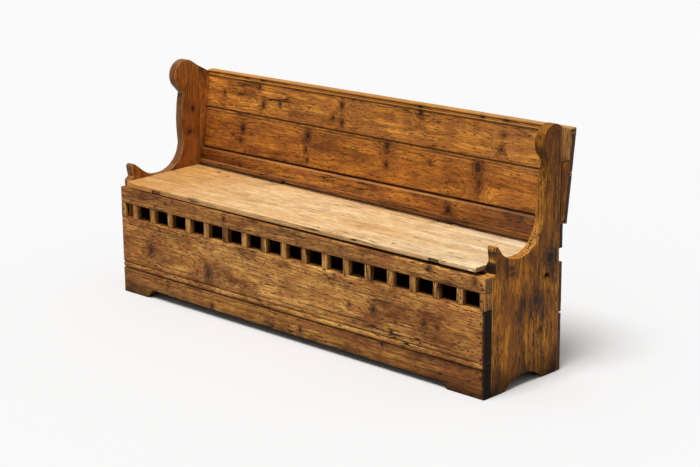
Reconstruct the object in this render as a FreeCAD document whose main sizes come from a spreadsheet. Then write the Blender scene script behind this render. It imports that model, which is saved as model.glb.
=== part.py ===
import FreeCAD, Part

import math
import os
import re

import Sketcher
from FreeCAD import Placement, Rotation, Vector

# Settle bench in old pine: two shaped end boards, a boarded raking back and a
# boarded box whose seat lifts on two butt hinges. Millimetres, Z up, X along
# the bench. The origin is on the floor under the middle of the whole bench.
# Depths are measured back from the foremost edge, which is the seat nosing.

DIMENSIONS = {
    # overall
    "bench_length": 1850,
    "bench_depth": 476,
    "front_face": 1,
    "front_thickness": 38,
    # end boards
    "end_thickness": 36,
    "board_rear": 397,
    "arch_front": 105,
    "arch_peak": 215,
    "arch_rear": 320,
    "arch_height": 41,
    "arch_front_radius": 190,
    "arch_rear_radius": 150,
    "scroll_radius": 61.5,
    "scroll_depth_left": 330,
    "scroll_height_left": 832,
    "scroll_depth_right": 354,
    "scroll_height_right": 817,
    "neck_depth_left": 311,
    "neck_height_left": 763,
    "neck_depth_right": 329,
    "neck_height_right": 748,
    "neck_radius": 550,
    "shoulder_left": 862,
    "shoulder_right": 862,
    "strip_top_drop": 30,
    "post_foot_depth": 302,
    "post_foot_height": 562,
    "sweep_radius": 117,
    "sweep_low_depth": 186,
    "sweep_low_height": 454,
    "horn_sweep_radius": 150,
    "horn_rise_depth": 92,
    "horn_rise_height": 482,
    "horn_back_left": 50,
    "horn_back_right": 66,
    "horn_back_height": 514,
    "horn_tip_left": 31,
    "horn_tip_right": 52,
    "horn_tip_height_left": 503,
    "horn_tip_height_right": 508,
    "horn_tip_radius_left": 12,
    "horn_tip_radius_right": 9,
    "horn_throat_left": 38,
    "horn_throat_right": 58,
    "horn_throat_height": 466,
    "ledge_front_left": 21,
    "ledge_front_right": 48,
    "ledge_height": 458,
    "ledge_drop": 6,
    "ledge_gap": 1,
    "knot_depth": 330,
    "knot_height": 359,
    "knot_radius": 12,
    "knot_recess": 9,
    # raking strips behind the end boards
    "strip_joint": 738,
    "strip_gap": 2,
    "strip_lower_inset": 5,
    "rake_depth": 416.5,
    "rake_height": 533,
    "rake_angle": 7.41,
    # front rail, balusters and end posts
    "rail_bottom": 366,
    "rail_top_left": 429,
    "rail_top_right": 420,
    "edge_wear": 3,
    "worn_bulge": 1.2,
    "opening_bottom": 308,
    "baluster_count": 17,
    "baluster_width": 26,
    "baluster_thickness": 24,
    "baluster_recess": 2,
    "baluster_first": 846.2,
    "baluster_pitch": 103.76,
    "baluster_wear": 1.5,
    "tenon_width": 14,
    "tenon_thickness": 12,
    "tenon_length": 9,
    "post_width_left": 26,
    "post_width_right": 24,
    # front board and plinth
    "plinth_top": 100,
    "board_bottom": 101,
    "bead_height": 23,
    "bead_depth": 5,
    "bead_radius": 15.8,
    "quirk_depth": 6,
    "quirk_height": 3,
    "foot_left": 787,
    "foot_right": 766,
    "foot_slope_left": 32,
    "foot_slope_right": 22,
    "cutout_height_left": 34,
    "cutout_height_right": 23,
    # lift-up seat
    "seat_left": 887,
    "seat_right": 884.5,
    "seat_depth": 370,
    "seat_front_top_left": 455,
    "seat_front_top_right": 450,
    "seat_front_under_left": 431,
    "seat_front_under_right": 433,
    "seat_rear_top_left": 461,
    "seat_rear_top_right": 444,
    "seat_rear_thickness": 22,
    "nosing_radius": 7,
    "arris_radius": 3,
    # battens let into the underside of the seat
    "batten_offset_left": 711,
    "batten_offset_right": 703,
    "batten_width": 48,
    "batten_housing": 12,
    "batten_inset": 5,
    "batten_rear": 358,
    "batten_step": 48,
    "batten_drop": 14,
    "batten_tail": 2,
    "housing_overrun": 5,
    # rear seat rail, reeded moulding and bearers
    "rear_rail_front": 375,
    "rear_rail_bottom": 402,
    "reed_front": 384,
    "reed_height": 21,
    "reed_radius": 4,
    "reed_fillet": 1.5,
    "bearer_width": 25,
    "bearer_height": 34,
    "bearer_front": 44,
    "bearer_rear": 366,
    "bearer_clearance": 0.6,
    # back boards
    "back_thickness": 21,
    "lower_back_thickness": 17.5,
    "upper_joint": 690,
    "lower_joint_left": 525.5,
    "lower_joint_right": 531,
    "back_top_left": 817,
    "back_top_right": 825,
    "joint_gap": 6,
    "lap_length": 10,
    "lap_clearance": 1,
    "lap_foot": 522,
    "board_arris": 1,
    "board_bead": 4,
    "board_bead_width": 12,
    "board_quirk": 2.5,
    "seat_back_bottom": 440,
    "rear_upper_top": 392,
    "rear_upper_bottom": 213,
    "rear_lower_top": 208,
    "rear_lower_bottom": 2,
    "rear_chamfer": 2,
    # cap moulding
    "cap_front": 447,
    "cap_height": 24,
    "cap_notch_clearance": 0.5,
    "cap_foot_clearance": 0.2,
    "cap_set_back": 4,
    "cap_round": 4.4,
    "cap_nosing_flat": 3,
    "cap_quirk": 2,
    "cap_fillet": 1,
    "cap_hollow_radius": 9,
    "cap_bead_reach": 3,
    "cap_bead_top": 9,
    "cap_bead_foot": 8,
    "cap_tail_rise": 11,
    # box floor
    "floor_top": 78,
    "floor_thickness": 16,
    "floor_board_count": 3,
    "floor_board_gap": 1.5,
    "cleat_width": 25,
    "cleat_height": 20,
    "cleat_front": 60,
    "cleat_rear": 375,
    "cross_bearer_width": 45,
    # butt hinges
    "hinge_offset": 430,
    "hinge_depth": 372.5,
    "hinge_rise": 2.5,
    "hinge_length": 70,
    "leaf_height": 22,
    "leaf_thickness": 2,
    "leaf_gap": 0.5,
    "leaf_notch": 4.2,
    "knuckle_radius": 3.2,
    "knuckle_middle": 23.4,
    "knuckle_gap": 0.3,
    "pin_radius": 1.6,
    "pin_clearance": 0.05,
    "pin_head_radius": 2.6,
    "pin_head_length": 1.5,
    "pin_end_clearance": 0.2,
    # nails and screws
    "nail_head_radius": 4,
    "nail_head_height": 0.8,
    "nail_radius": 1.8,
    "nail_length": 60,
    "nail_inset_left": 14,
    "nail_inset_right": 17,
    "nail_in_rail": 394,
    "nail_in_post": 340,
    "nail_in_board_top": 263,
    "nail_in_board_middle": 198,
    "nail_in_board_foot": 136,
    "nail_in_plinth": 75,
    "back_nail_margin": 45,
    "screw_head_radius": 3,
    "screw_head_height": 1.8,
    "screw_radius": 1.5,
    "screw_length": 14,
    "screw_spacing": 24,
    "screw_drop": 17.5,
}

ALIAS = re.compile(r"\b(" + "|".join(sorted(DIMENSIONS, key=len, reverse=True)) + r")\b")
CIRCLE_START, SCROLL_BACK, SCROLL_END = 60, 150, 232
ORIGIN_POINT = 1
TOUCH = 0.1
NEARLY_PARALLEL = 0.99
HEAD_FACETS, SHANK_FACETS, SCREW_FACETS = 8, 4, 12
CROWN_SHARE, POINT_SHARE = 0.35, 0.4
INNER_LEFT = "-bench_length / 2 + end_thickness"
INNER_RIGHT = "bench_length / 2 - end_thickness"

document = FreeCAD.newDocument("settle_bench")
sheet = document.addObject("Spreadsheet::Sheet", "Sizes")
for row, (alias, size) in enumerate(DIMENSIONS.items(), start=1):
    sheet.set(f"A{row}", alias)
    sheet.set(f"B{row}", str(size))
    sheet.setAlias(f"B{row}", alias)
document.recompute()

sub_parts = []


def bind(expression):
    """Expression text with every named size read from the sheet."""
    return ALIAS.sub(r"Sizes.\1", str(expression))


def measure(expression):
    """Present value of an expression of named sizes."""
    result = sheet.evalExpression(bind(expression))
    return float(getattr(result, "Value", result))


def along_bench(left, right, position):
    """Level between two levels at the ends of the bench, at a place along it."""
    return f"(({left}) + (({right}) - ({left})) * (({position}) / bench_length + 0.5))"


def along_seat(left, right, position):
    """Level between two levels at the ends of the seat, at a place along it."""
    share = f"(({position}) + seat_left) / (seat_left + seat_right)"
    return f"(({left}) + (({right}) - ({left})) * {share})"


def rake_at(height):
    """Depth of the front face of the raking back at a height."""
    return f"(rake_depth + (({height}) - rake_height) * tan(rake_angle))"


def rake_run(height):
    """Distance up the raking face at which it reaches a height."""
    return f"((({height}) - rake_height) / cos(rake_angle))"


def new_body(label):
    """Empty body that becomes one piece of the bench."""
    body = document.addObject("PartDesign::Body", label)
    body.Label = label
    sub_parts.append(body)
    return body


def place(body, across="0", depth="0", height="0"):
    """Bind where a body's own origin lies, its depth counted from the nosing."""
    body.setExpression("Placement.Base.x", bind(across))
    body.setExpression("Placement.Base.y", bind(f"({depth}) - bench_depth / 2"))
    body.setExpression("Placement.Base.z", bind(height))


def sketch_on(body, role, offset="0"):
    """Sketch on one of the body's own origin planes, moved along its normal."""
    plane = next(item for item in body.Origin.OriginFeatures if item.Role == role)
    sketch = body.newObject("Sketcher::SketchObject", f"{body.Name}_sketch")
    sketch.AttachmentSupport = [(plane, "")]
    sketch.MapMode = "FlatFace"
    sketch.AttachmentOffset = Placement(Vector(0, 0, measure(offset)), Rotation())
    sketch.setExpression("AttachmentOffset.Base.z", bind(offset))
    return sketch


def bent_edge(start, end, radius):
    """Arc under a half turn; a positive radius turns left from start to end."""
    chord = end - start
    left = Vector(-chord.y, chord.x, 0).normalize()
    reach = math.sqrt(radius**2 - (chord.Length / 2) ** 2)
    centre = (start + end) / 2 + left * math.copysign(reach, radius)
    first, last = (start, end) if radius > 0 else (end, start)
    begin = math.atan2(first.y - centre.y, first.x - centre.x)
    finish = math.atan2(last.y - centre.y, last.x - centre.x)
    if finish < begin:
        finish += 2 * math.pi
    circle = Part.Circle(centre, Vector(0, 0, 1), abs(radius))
    return Part.ArcOfCircle(circle, begin, finish)


def bound_constraint(sketch, name, *definition, expression):
    """Sketch constraint whose value follows an expression of named sizes."""
    index = sketch.addConstraint(Sketcher.Constraint(*definition, measure(expression)))
    sketch.renameConstraint(index, name)
    sketch.setExpression(f"Constraints.{name}", bind(expression))


def draw_outline(sketch, corners, prefix=""):
    """Closed outline of lines and arcs, counter-clockwise.

    A corner is (across, up) or (across, up, radius), all expressions; the
    radius bends the edge that leaves the corner, to the left when positive.
    """
    points = [Vector(measure(corner[0]), measure(corner[1]), 0) for corner in corners]
    first_edge = sketch.GeometryCount
    leaving, arriving = [], []
    for number, corner in enumerate(corners):
        start, end = points[number], points[(number + 1) % len(points)]
        if len(corner) == 2:
            sketch.addGeometry(Part.LineSegment(start, end), False)
            turns_left = True
        else:
            radius = measure(corner[2])
            sketch.addGeometry(bent_edge(start, end, radius), False)
            turns_left = radius > 0
        leaving.append(1 if turns_left else 2)
        arriving.append(2 if turns_left else 1)
    for number, corner in enumerate(corners):
        edge, before = first_edge + number, first_edge + (number - 1) % len(corners)
        came_in = arriving[(number - 1) % len(corners)]
        name = f"{prefix}p{number}"
        sketch.addConstraint(
            Sketcher.Constraint("Coincident", before, came_in, edge, leaving[number])
        )
        bound_constraint(sketch, f"{name}_across", "DistanceX", edge, leaving[number],
                         expression=corner[0])
        bound_constraint(sketch, f"{name}_up", "DistanceY", edge, leaving[number],
                         expression=corner[1])
        if len(corner) == 3:
            bound_constraint(sketch, f"{name}_radius", "Radius", edge,
                             expression=f"abs({corner[2]})")


def rectangle(left, bottom, right, top):
    """Corners of an upright rectangle."""
    return [(left, bottom), (right, bottom), (right, top), (left, top)]


def pad(body, sketch, length, side="One side", backward=False):
    """Add the outline's solid to the body."""
    feature = body.newObject("PartDesign::Pad", f"{body.Name}_pad")
    feature.Profile = sketch
    feature.SideType = side
    feature.Reversed = backward
    feature.Length = measure(length)
    feature.setExpression("Length", bind(length))
    return feature


def pocket(body, sketch, length, side="One side", backward=False):
    """Cut the outline's solid out of the body and check that it took wood away."""
    document.recompute()
    whole = body.Shape.Volume
    feature = body.newObject("PartDesign::Pocket", f"{body.Name}_pocket")
    feature.Profile = sketch
    feature.SideType = side
    feature.Reversed = backward
    feature.Length = measure(length)
    feature.setExpression("Length", bind(length))
    document.recompute()
    if body.Shape.Volume >= whole:
        raise RuntimeError(f"{body.Label}: a pocket cuts nothing")
    return feature


def wear_edges(body, feature, size, wanted, rounded=False):
    """Round or flatten the edges of the newest feature that the test picks out."""
    document.recompute()
    names = [f"Edge{number}" for number, edge in enumerate(feature.Shape.Edges, start=1)
             if wanted(edge)]
    kind, dimension = ("Fillet", "Radius") if rounded else ("Chamfer", "Size")
    worn = body.newObject(f"PartDesign::{kind}", f"{body.Name}_wear")
    worn.Base = (feature, names)
    setattr(worn, dimension, measure(size))
    worn.setExpression(dimension, bind(size))
    return worn


def runs_along(edge, axis):
    """True for a straight edge that lies along one of the three axes."""
    if len(edge.Vertexes) != 2:
        return False
    run = edge.Vertexes[1].Point - edge.Vertexes[0].Point
    return abs(run.normalize().dot(axis)) > NEARLY_PARALLEL


def tapered_board(label, left_end, right_end, section, depth="0"):
    """Long board lofted between its section at one end and at the other.

    section(side, position) gives the outline in depth and height at an end.
    """
    body = new_body(label)
    ends = []
    for side, position in (("left", left_end), ("right", right_end)):
        sketch = sketch_on(body, "YZ_Plane", position)
        draw_outline(sketch, section(side, position))
        ends.append(sketch)
    loft = body.newObject("PartDesign::AdditiveLoft", f"{label}_loft")
    loft.Profile = ends[0]
    loft.Sections = [ends[1]]
    loft.Ruled = True
    place(body, depth=depth)
    return body


def end_board(side, inner_left_face):
    """Shaped end: foot arch, rear edge, scroll, post, arm sweep and horn."""
    body = new_body(f"end_board_{side}")
    scroll_depth = f"scroll_depth_{side}"
    scroll_height = f"scroll_height_{side}"
    back = "(front_face + front_thickness)"
    ledge_front, ledge_foot = f"ledge_front_{side}", f"rail_top_{side} + ledge_gap"

    def on_scroll(angle):
        return (f"{scroll_depth} + scroll_radius * cos({angle})",
                f"{scroll_height} + scroll_radius * sin({angle})")

    outline = [
        (back, "0"),
        ("arch_front", "0", "-arch_front_radius"),
        ("arch_peak", "arch_height", "-arch_rear_radius"),
        ("arch_rear", "0"),
        ("board_rear", "0"),
        ("board_rear", f"shoulder_{side}"),
        (*on_scroll(CIRCLE_START), "scroll_radius"),
        (*on_scroll(SCROLL_BACK), "scroll_radius"),
        on_scroll(SCROLL_END),
        (f"neck_depth_{side}", f"neck_height_{side}", "neck_radius"),
        ("post_foot_depth", "post_foot_height", "-sweep_radius"),
        ("sweep_low_depth", "sweep_low_height", "-horn_sweep_radius"),
        ("horn_rise_depth", "horn_rise_height"),
        (f"horn_back_{side}", "horn_back_height", f"horn_tip_radius_{side}"),
        (f"horn_tip_{side}", f"horn_tip_height_{side}"),
        (f"horn_throat_{side}", "horn_throat_height"),
        (f"{ledge_front} + ledge_drop", "ledge_height"),
        (ledge_front, "ledge_height - ledge_drop"),
        (ledge_front, ledge_foot),
        (back, ledge_foot),
    ]
    sketch = sketch_on(body, "YZ_Plane")
    draw_outline(sketch, outline)
    pad(body, sketch, "end_thickness")
    place(body, across=inner_left_face)
    return body


def knot_hole(body):
    """Blind hole left in the right-hand end board by a lost knot."""
    sketch = sketch_on(body, "YZ_Plane", "end_thickness")
    circle = Part.Circle(Vector(measure("knot_depth"), measure("knot_height"), 0),
                         Vector(0, 0, 1), measure("knot_radius"))
    sketch.addGeometry(circle, False)
    bound_constraint(sketch, "across", "DistanceX", 0, 3, expression="knot_depth")
    bound_constraint(sketch, "up", "DistanceY", 0, 3, expression="knot_height")
    bound_constraint(sketch, "radius", "Radius", 0, expression="knot_radius")
    pocket(body, sketch, "knot_recess")


def raking_strip(label, left_face, bottom, top_points, inset="0"):
    """Wedge behind an end board that carries the raking boards."""
    body = new_body(label)
    front = f"board_rear + {inset}"
    outline = [(front, bottom), (rake_at(bottom), bottom), *top_points(front)]
    sketch = sketch_on(body, "YZ_Plane")
    draw_outline(sketch, outline)
    pad(body, sketch, "end_thickness")
    place(body, across=left_face)
    return body


def full_strip_top(front):
    """Top of the left strip, which falls from the shoulder to the back."""
    level = "shoulder_left - strip_top_drop"
    return [(rake_at(level), level), (front, "shoulder_left")]


def notched_strip_top(front):
    """Top of the right strip, cut away to let the cap moulding pass over it."""
    level = "back_top_right - cap_notch_clearance"
    notch = "cap_front - cap_notch_clearance"
    return [(rake_at(level), level), (notch, level),
            (notch, "back_top_right + cap_height - arris_radius"), (front, "shoulder_right")]


def flat_strip_top(front):
    """Square top of the lower length of the right strip."""
    return [(rake_at("strip_joint"), "strip_joint"), (front, "strip_joint")]


def mortises(body, height, upward):
    """Row of mortises for the balusters' tenons, sunk from a level face."""
    first = "-baluster_first"
    depth = "front_face + baluster_recess + baluster_thickness / 2"
    sketch = sketch_on(body, "XY_Plane", height)
    draw_outline(sketch, rectangle(
        f"{first} - tenon_width / 2", f"{depth} - tenon_thickness / 2",
        f"{first} + tenon_width / 2", f"{depth} + tenon_thickness / 2"))
    cut = pocket(body, sketch, "tenon_length", backward=upward)
    whole = body.Shape.Volume
    row = body.newObject("PartDesign::LinearPattern", f"{body.Name}_row")
    row.Originals = [cut]
    row.Direction = (sketch, ["H_Axis"])
    row.Mode = "Spacing"
    row.setExpression("Offset", bind("baluster_pitch"))
    row.setExpression("Occurrences", bind("baluster_count"))
    body.Tip = row
    document.recompute()
    if body.Shape.Volume >= whole:
        raise RuntimeError(f"{body.Label}: the row of mortises is missing")


def front_top_rail():
    """Rail over the balusters; its top edge falls a little to the right."""
    rear = "front_face + front_thickness"

    def section(side, _):
        top = f"rail_top_{side}"
        return [
            ("front_face + arris_radius", "rail_bottom"),
            (rear, "rail_bottom"),
            (rear, top),
            ("front_face + edge_wear", top, "edge_wear * worn_bulge"),
            ("front_face", f"{top} - edge_wear"),
            ("front_face", "rail_bottom + arris_radius", "arris_radius * worn_bulge"),
        ]

    body = tapered_board("front_top_rail", "-bench_length / 2", "bench_length / 2", section)
    mortises(body, "rail_bottom", upward=True)


def end_post(side, left_face, width):
    """Short post that closes the row of balusters at the bench's corner."""
    body = new_body(f"front_end_post_{side}")
    sketch = sketch_on(body, "XY_Plane", "opening_bottom")
    draw_outline(sketch, rectangle("0", "front_face", width, "front_face + front_thickness"))
    block = pad(body, sketch, "rail_bottom - opening_bottom")
    wear_edges(body, block, "baluster_wear", lambda edge: runs_along(edge, Vector(0, 0, 1)))
    place(body, across=left_face)


def baluster(number):
    """Square baluster with a stub tenon at each end."""
    body = new_body(f"baluster_{number + 1:02d}")
    half_width, half_thickness = "baluster_width / 2", "baluster_thickness / 2"
    sketch = sketch_on(body, "XY_Plane", "opening_bottom")
    draw_outline(sketch, rectangle(f"-{half_width}", f"-{half_thickness}",
                                   half_width, half_thickness))
    stem = pad(body, sketch, "rail_bottom - opening_bottom")
    wear_edges(body, stem, "baluster_wear", lambda edge: runs_along(edge, Vector(0, 0, 1)))
    for level, downward in (("rail_bottom", False), ("opening_bottom", True)):
        end = sketch_on(body, "XY_Plane", level)
        draw_outline(end, rectangle("-tenon_width / 2", "-tenon_thickness / 2",
                                    "tenon_width / 2", "tenon_thickness / 2"))
        pad(body, end, "tenon_length", backward=downward)
    place(body, across=f"-baluster_first + {number} * baluster_pitch",
          depth=f"front_face + baluster_recess + {half_thickness}")


def front_board():
    """Wide front board with a bead run along its lower edge."""
    body = new_body("front_board")
    rear = "front_face + front_thickness"
    quirk = "board_bottom + bead_height"
    outline = [
        (rear, "board_bottom"),
        (rear, "opening_bottom"),
        ("front_face + edge_wear", "opening_bottom", "edge_wear * worn_bulge"),
        ("front_face", "opening_bottom - edge_wear"),
        ("front_face", f"{quirk} + quirk_height"),
        ("front_face + quirk_depth", f"{quirk} + quirk_height / 2"),
        ("front_face + bead_depth", quirk, "bead_radius"),
        ("front_face + bead_depth", "board_bottom"),
    ]
    sketch = sketch_on(body, "YZ_Plane")
    draw_outline(sketch, outline)
    pad(body, sketch, "bench_length", side="Symmetric")
    place(body)
    mortises(body, "opening_bottom", upward=False)


def plinth_board():
    """Bottom board, cut away between the corners so that they stand as feet."""
    body = new_body("plinth_board")
    half = "bench_length / 2"
    outline = [
        (f"-{half}", "0"),
        ("-foot_left", "0"),
        ("-foot_left + foot_slope_left", "cutout_height_left"),
        ("foot_right - foot_slope_right", "cutout_height_right"),
        ("foot_right", "0"),
        (half, "0"),
        (half, "plinth_top"),
        (f"-{half}", "plinth_top"),
    ]
    sketch = sketch_on(body, "XZ_Plane", "-front_face")
    draw_outline(sketch, outline)
    slab = pad(body, sketch, "front_thickness", backward=True)
    top, face = measure("plinth_top"), measure("front_face")

    def on_top_front(edge):
        middle = edge.CenterOfMass
        return abs(middle.z - top) < TOUCH and abs(middle.y - face) < TOUCH

    wear_edges(body, slab, "edge_wear", on_top_front, rounded=True)
    place(body)


def seat_board():
    """Lift-up seat: one wide board in wind, its rear edge falling to the right."""

    def section(side, _):
        top, under = f"seat_front_top_{side}", f"seat_front_under_{side}"
        rear_top = f"seat_rear_top_{side}"
        return [
            ("arris_radius", under),
            ("seat_depth", f"{rear_top} - seat_rear_thickness"),
            ("seat_depth", rear_top),
            ("nosing_radius", top, "nosing_radius * worn_bulge"),
            ("0", f"{top} - nosing_radius"),
            ("0", f"{under} + arris_radius", "arris_radius * worn_bulge"),
        ]

    body = tapered_board("seat_board", "-seat_left", "seat_right", section)
    for side, sign in (("left", "-"), ("right", "")):
        position = f"{sign}batten_offset_{side}"
        sketch = sketch_on(body, "YZ_Plane", position)
        draw_outline(sketch, housing_outline(position))
        pocket(body, sketch, "batten_width", side="Symmetric")


def seat_rear_top(position):
    """Height of the seat's rear edge, and of the rail behind it, along the bench."""
    return along_seat("seat_rear_top_left", "seat_rear_top_right", position)


def underside(position, depth):
    """Height of the seat's underside at a place along and across it."""
    front = along_seat("seat_front_under_left", "seat_front_under_right", position)
    rear = f"({seat_rear_top(position)} - seat_rear_thickness)"
    return f"({front} + ({rear} - {front}) * ({depth}) / seat_depth)"


def housing_outline(position):
    """Side view of a batten's housing, open below, in front and behind."""
    front, rear = "-housing_overrun", "seat_depth + housing_overrun"
    return [
        (front, f"{underside(position, front)} - housing_overrun"),
        (rear, f"{underside(position, rear)} - housing_overrun"),
        (rear, f"{underside(position, rear)} + batten_housing"),
        (front, f"{underside(position, front)} + batten_housing"),
    ]


def seat_batten(side, sign):
    """Batten housed in the seat, cut back where it passes over the front rail."""
    body = new_body(f"seat_batten_{side}")
    position = f"{sign}batten_offset_{side}"
    tail = "seat_depth - batten_tail"
    outline = [
        ("batten_inset", underside(position, "batten_inset")),
        ("batten_step", underside(position, "batten_step")),
        ("batten_step + batten_drop", f"{underside(position, 'batten_step')} - batten_drop"),
        ("batten_rear", f"{underside(position, 'batten_rear')} - batten_drop"),
        ("batten_rear", underside(position, "batten_rear")),
        (tail, underside(position, tail)),
        (tail, f"{underside(position, tail)} + batten_housing"),
        ("batten_inset", f"{underside(position, 'batten_inset')} + batten_housing"),
    ]
    sketch = sketch_on(body, "YZ_Plane", position)
    draw_outline(sketch, outline)
    pad(body, sketch, "batten_width", side="Symmetric")
    place(body)


def rear_seat_rail():
    """Fixed rail behind the seat, to which the hinges are screwed."""

    def section(_, position):
        return rectangle("rear_rail_front", "rear_rail_bottom", "board_rear",
                         seat_rear_top(position))

    tapered_board("rear_seat_rail", INNER_LEFT, INNER_RIGHT, section)


def reeded_moulding():
    """Strip of three reeds that covers the joint between seat rail and back."""

    def section(_, position):
        foot = seat_rear_top(position)
        face = "reed_front + reed_radius"
        step = "(reed_height - 2 * reed_fillet) / 3"
        points = [("board_rear", foot), ("board_rear", f"{foot} + reed_height")]
        points.append((face, f"{foot} + reed_height"))
        for reed in (3, 2, 1):
            points.append((face, f"{foot} + reed_fillet + {reed} * {step}", "reed_radius"))
        points.append((face, f"{foot} + reed_fillet"))
        points.append((face, foot))
        return points

    tapered_board("back_foot_moulding", INNER_LEFT, INNER_RIGHT, section)


def seat_bearer(side, left_face, position):
    """Cleat on the inner face of an end board, on which the seat comes to rest."""
    body = new_body(f"seat_bearer_{side}")
    front_top = f"{underside(position, 'bearer_front')} - bearer_clearance"
    rear_top = f"{underside(position, 'bearer_rear')} - bearer_clearance"
    sketch = sketch_on(body, "YZ_Plane")
    draw_outline(sketch, [
        ("bearer_front", f"{front_top} - bearer_height"),
        ("bearer_rear", f"{rear_top} - bearer_height"),
        ("bearer_rear", rear_top),
        ("bearer_front", front_top),
    ])
    pad(body, sketch, "bearer_width")
    place(body, across=left_face)


def raking_board(label, section):
    """Back board that lies in the raking plane."""
    body = tapered_board(label, "-bench_length / 2", "bench_length / 2", section,
                         depth="rake_depth")
    body.Placement = Placement(Vector(), Rotation(Vector(-1, 0, 0), measure("rake_angle")))
    body.setExpression("Placement.Rotation.Angle", bind("rake_angle"))
    place(body, depth="rake_depth", height="rake_height")
    return body


def back_board_top(side, _):
    """Top back board: plain top edge, lapped over the board below."""
    bottom = f"{rake_run('upper_joint')} + joint_gap / 2"
    lapped = f"{bottom} + lap_length + lap_clearance - joint_gap"
    top = rake_run(f"back_top_{side}")
    half = "back_thickness / 2"
    return [
        ("board_arris", bottom), (half, bottom), (half, lapped), ("back_thickness", lapped),
        ("back_thickness", top), ("0", top), ("0", f"{bottom} + board_arris"),
    ]


def back_board_second(side, _):
    """Second back board: beaded top edge with a tongue behind, long rear foot."""
    top = f"{rake_run('upper_joint')} - joint_gap / 2"
    tongue = f"{top} + lap_length"
    foot = rake_run(f"lower_joint_{side} + joint_gap")
    quirk = f"{top} - board_bead_width"
    half = "back_thickness / 2"
    return [
        ("board_arris", foot), (half, foot), (half, rake_run("lap_foot")),
        ("back_thickness", rake_run("lap_foot")), ("back_thickness", tongue),
        (half, tongue), (half, top), ("board_bead", top, "board_bead"),
        ("0", f"{top} - board_bead"), ("0", f"{quirk} + board_arris"),
        ("board_quirk", quirk), ("0", f"{quirk} - board_arris"), ("0", f"{foot} + board_arris"),
    ]


def seat_back_board(side, _):
    """Upright board behind the seat; its top edge rises to the right."""
    rear = "board_rear + lower_back_thickness"
    top = f"lower_joint_{side}"
    return [
        ("board_rear", "seat_back_bottom"), (rear, "seat_back_bottom"), (rear, top),
        ("board_rear + arris_radius", top, "arris_radius"),
        ("board_rear", f"{top} - arris_radius"),
    ]


def lower_back_board(label, bottom, top):
    """Plain board across the back of the box."""
    body = new_body(label)
    rear = "board_rear + lower_back_thickness"
    sketch = sketch_on(body, "YZ_Plane")
    draw_outline(sketch, [
        ("board_rear", bottom), (f"{rear} - rear_chamfer", bottom),
        (rear, f"{bottom} + rear_chamfer"), (rear, f"{top} - rear_chamfer"),
        (f"{rear} - rear_chamfer", top), ("board_rear", top),
    ])
    pad(body, sketch, "bench_length", side="Symmetric")
    place(body)


def cap_moulding():
    """Moulded cap along the top of the back: nosing, hollow and bead."""

    def section(_, position):
        foot = along_bench("back_top_left", "back_top_right", position)
        top = f"{foot} + cap_height"
        face = "cap_front + cap_set_back"
        nosing_foot = f"{top} - cap_set_back - cap_nosing_flat"
        drop = "back_thickness * sin(rake_angle)"
        rear_foot = f"{rake_at(foot)} + back_thickness * cos(rake_angle)"
        return [
            (face, f"{foot} + cap_foot_clearance"),
            (rake_at(foot), foot),
            (rear_foot, f"{foot} - {drop}"),
            ("bench_depth", f"{foot} + cap_tail_rise"),
            ("bench_depth", f"{top} - arris_radius"),
            ("bench_depth - arris_radius", top),
            (face, top, "cap_round"),
            ("cap_front", f"{top} - cap_set_back"),
            ("cap_front", nosing_foot),
            (face, f"{nosing_foot} - cap_quirk"),
            (face, f"{nosing_foot} - cap_quirk - cap_fillet", "-cap_hollow_radius"),
            (f"{face} - cap_bead_reach", f"{foot} + cap_bead_top"),
            (face, f"{foot} + cap_bead_foot", "cap_round"),
        ]

    tapered_board("back_cap_moulding", INNER_LEFT, "bench_length / 2", section)


def floor_board(number):
    """One of the three boards of the box floor."""
    inner_front = "(front_face + front_thickness)"
    pitch = f"((board_rear - {inner_front} + floor_board_gap) / floor_board_count)"
    front = f"({inner_front} + {number} * {pitch})"
    body = new_body(f"floor_board_{number + 1}")
    sketch = sketch_on(body, "YZ_Plane")
    draw_outline(sketch, rectangle(front, "floor_top - floor_thickness",
                                   f"{front} + {pitch} - floor_board_gap", "floor_top"))
    pad(body, sketch, "bench_length - 2 * end_thickness", side="Symmetric")
    place(body)


def floor_cleat(label, left_face, width, front, rear):
    """Cleat under the floor boards, running front to back."""
    box = document.addObject("Part::Box", label)
    box.Label = label
    box.setExpression("Length", bind(width))
    box.setExpression("Width", bind(f"({rear}) - ({front})"))
    box.setExpression("Height", bind("cleat_height"))
    place(box, left_face, front, "floor_top - floor_thickness - cleat_height")
    sub_parts.append(box)


def hinge_line(position):
    """Height of the hinge pins' common axis at a place along the bench."""
    return f"({seat_rear_top(position)} + hinge_rise)"


def set_on_hinge_line(body, position):
    """Put a hinge piece on the common axis, which falls to the right."""
    fall = "atan((seat_rear_top_left - seat_rear_top_right) / (seat_left + seat_right))"
    body.Placement = Placement(Vector(), Rotation(Vector(0, 1, 0), 1))
    body.setExpression("Placement.Rotation.Angle", bind(fall))
    place(body, position, "hinge_depth", hinge_line(position))


def add_round(body, radius, start, length, cut=False):
    """Add or cut a round bar along the hinge axis."""
    sketch = sketch_on(body, "YZ_Plane", start)
    sketch.addGeometry(Part.Circle(Vector(), Vector(0, 0, 1), measure(radius)), False)
    sketch.addConstraint(Sketcher.Constraint("Coincident", 0, 3, -1, ORIGIN_POINT))
    bound_constraint(sketch, "radius", "Radius", 0, expression=radius)
    if cut:
        return pocket(body, sketch, length, backward=True)
    return pad(body, sketch, length)


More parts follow.
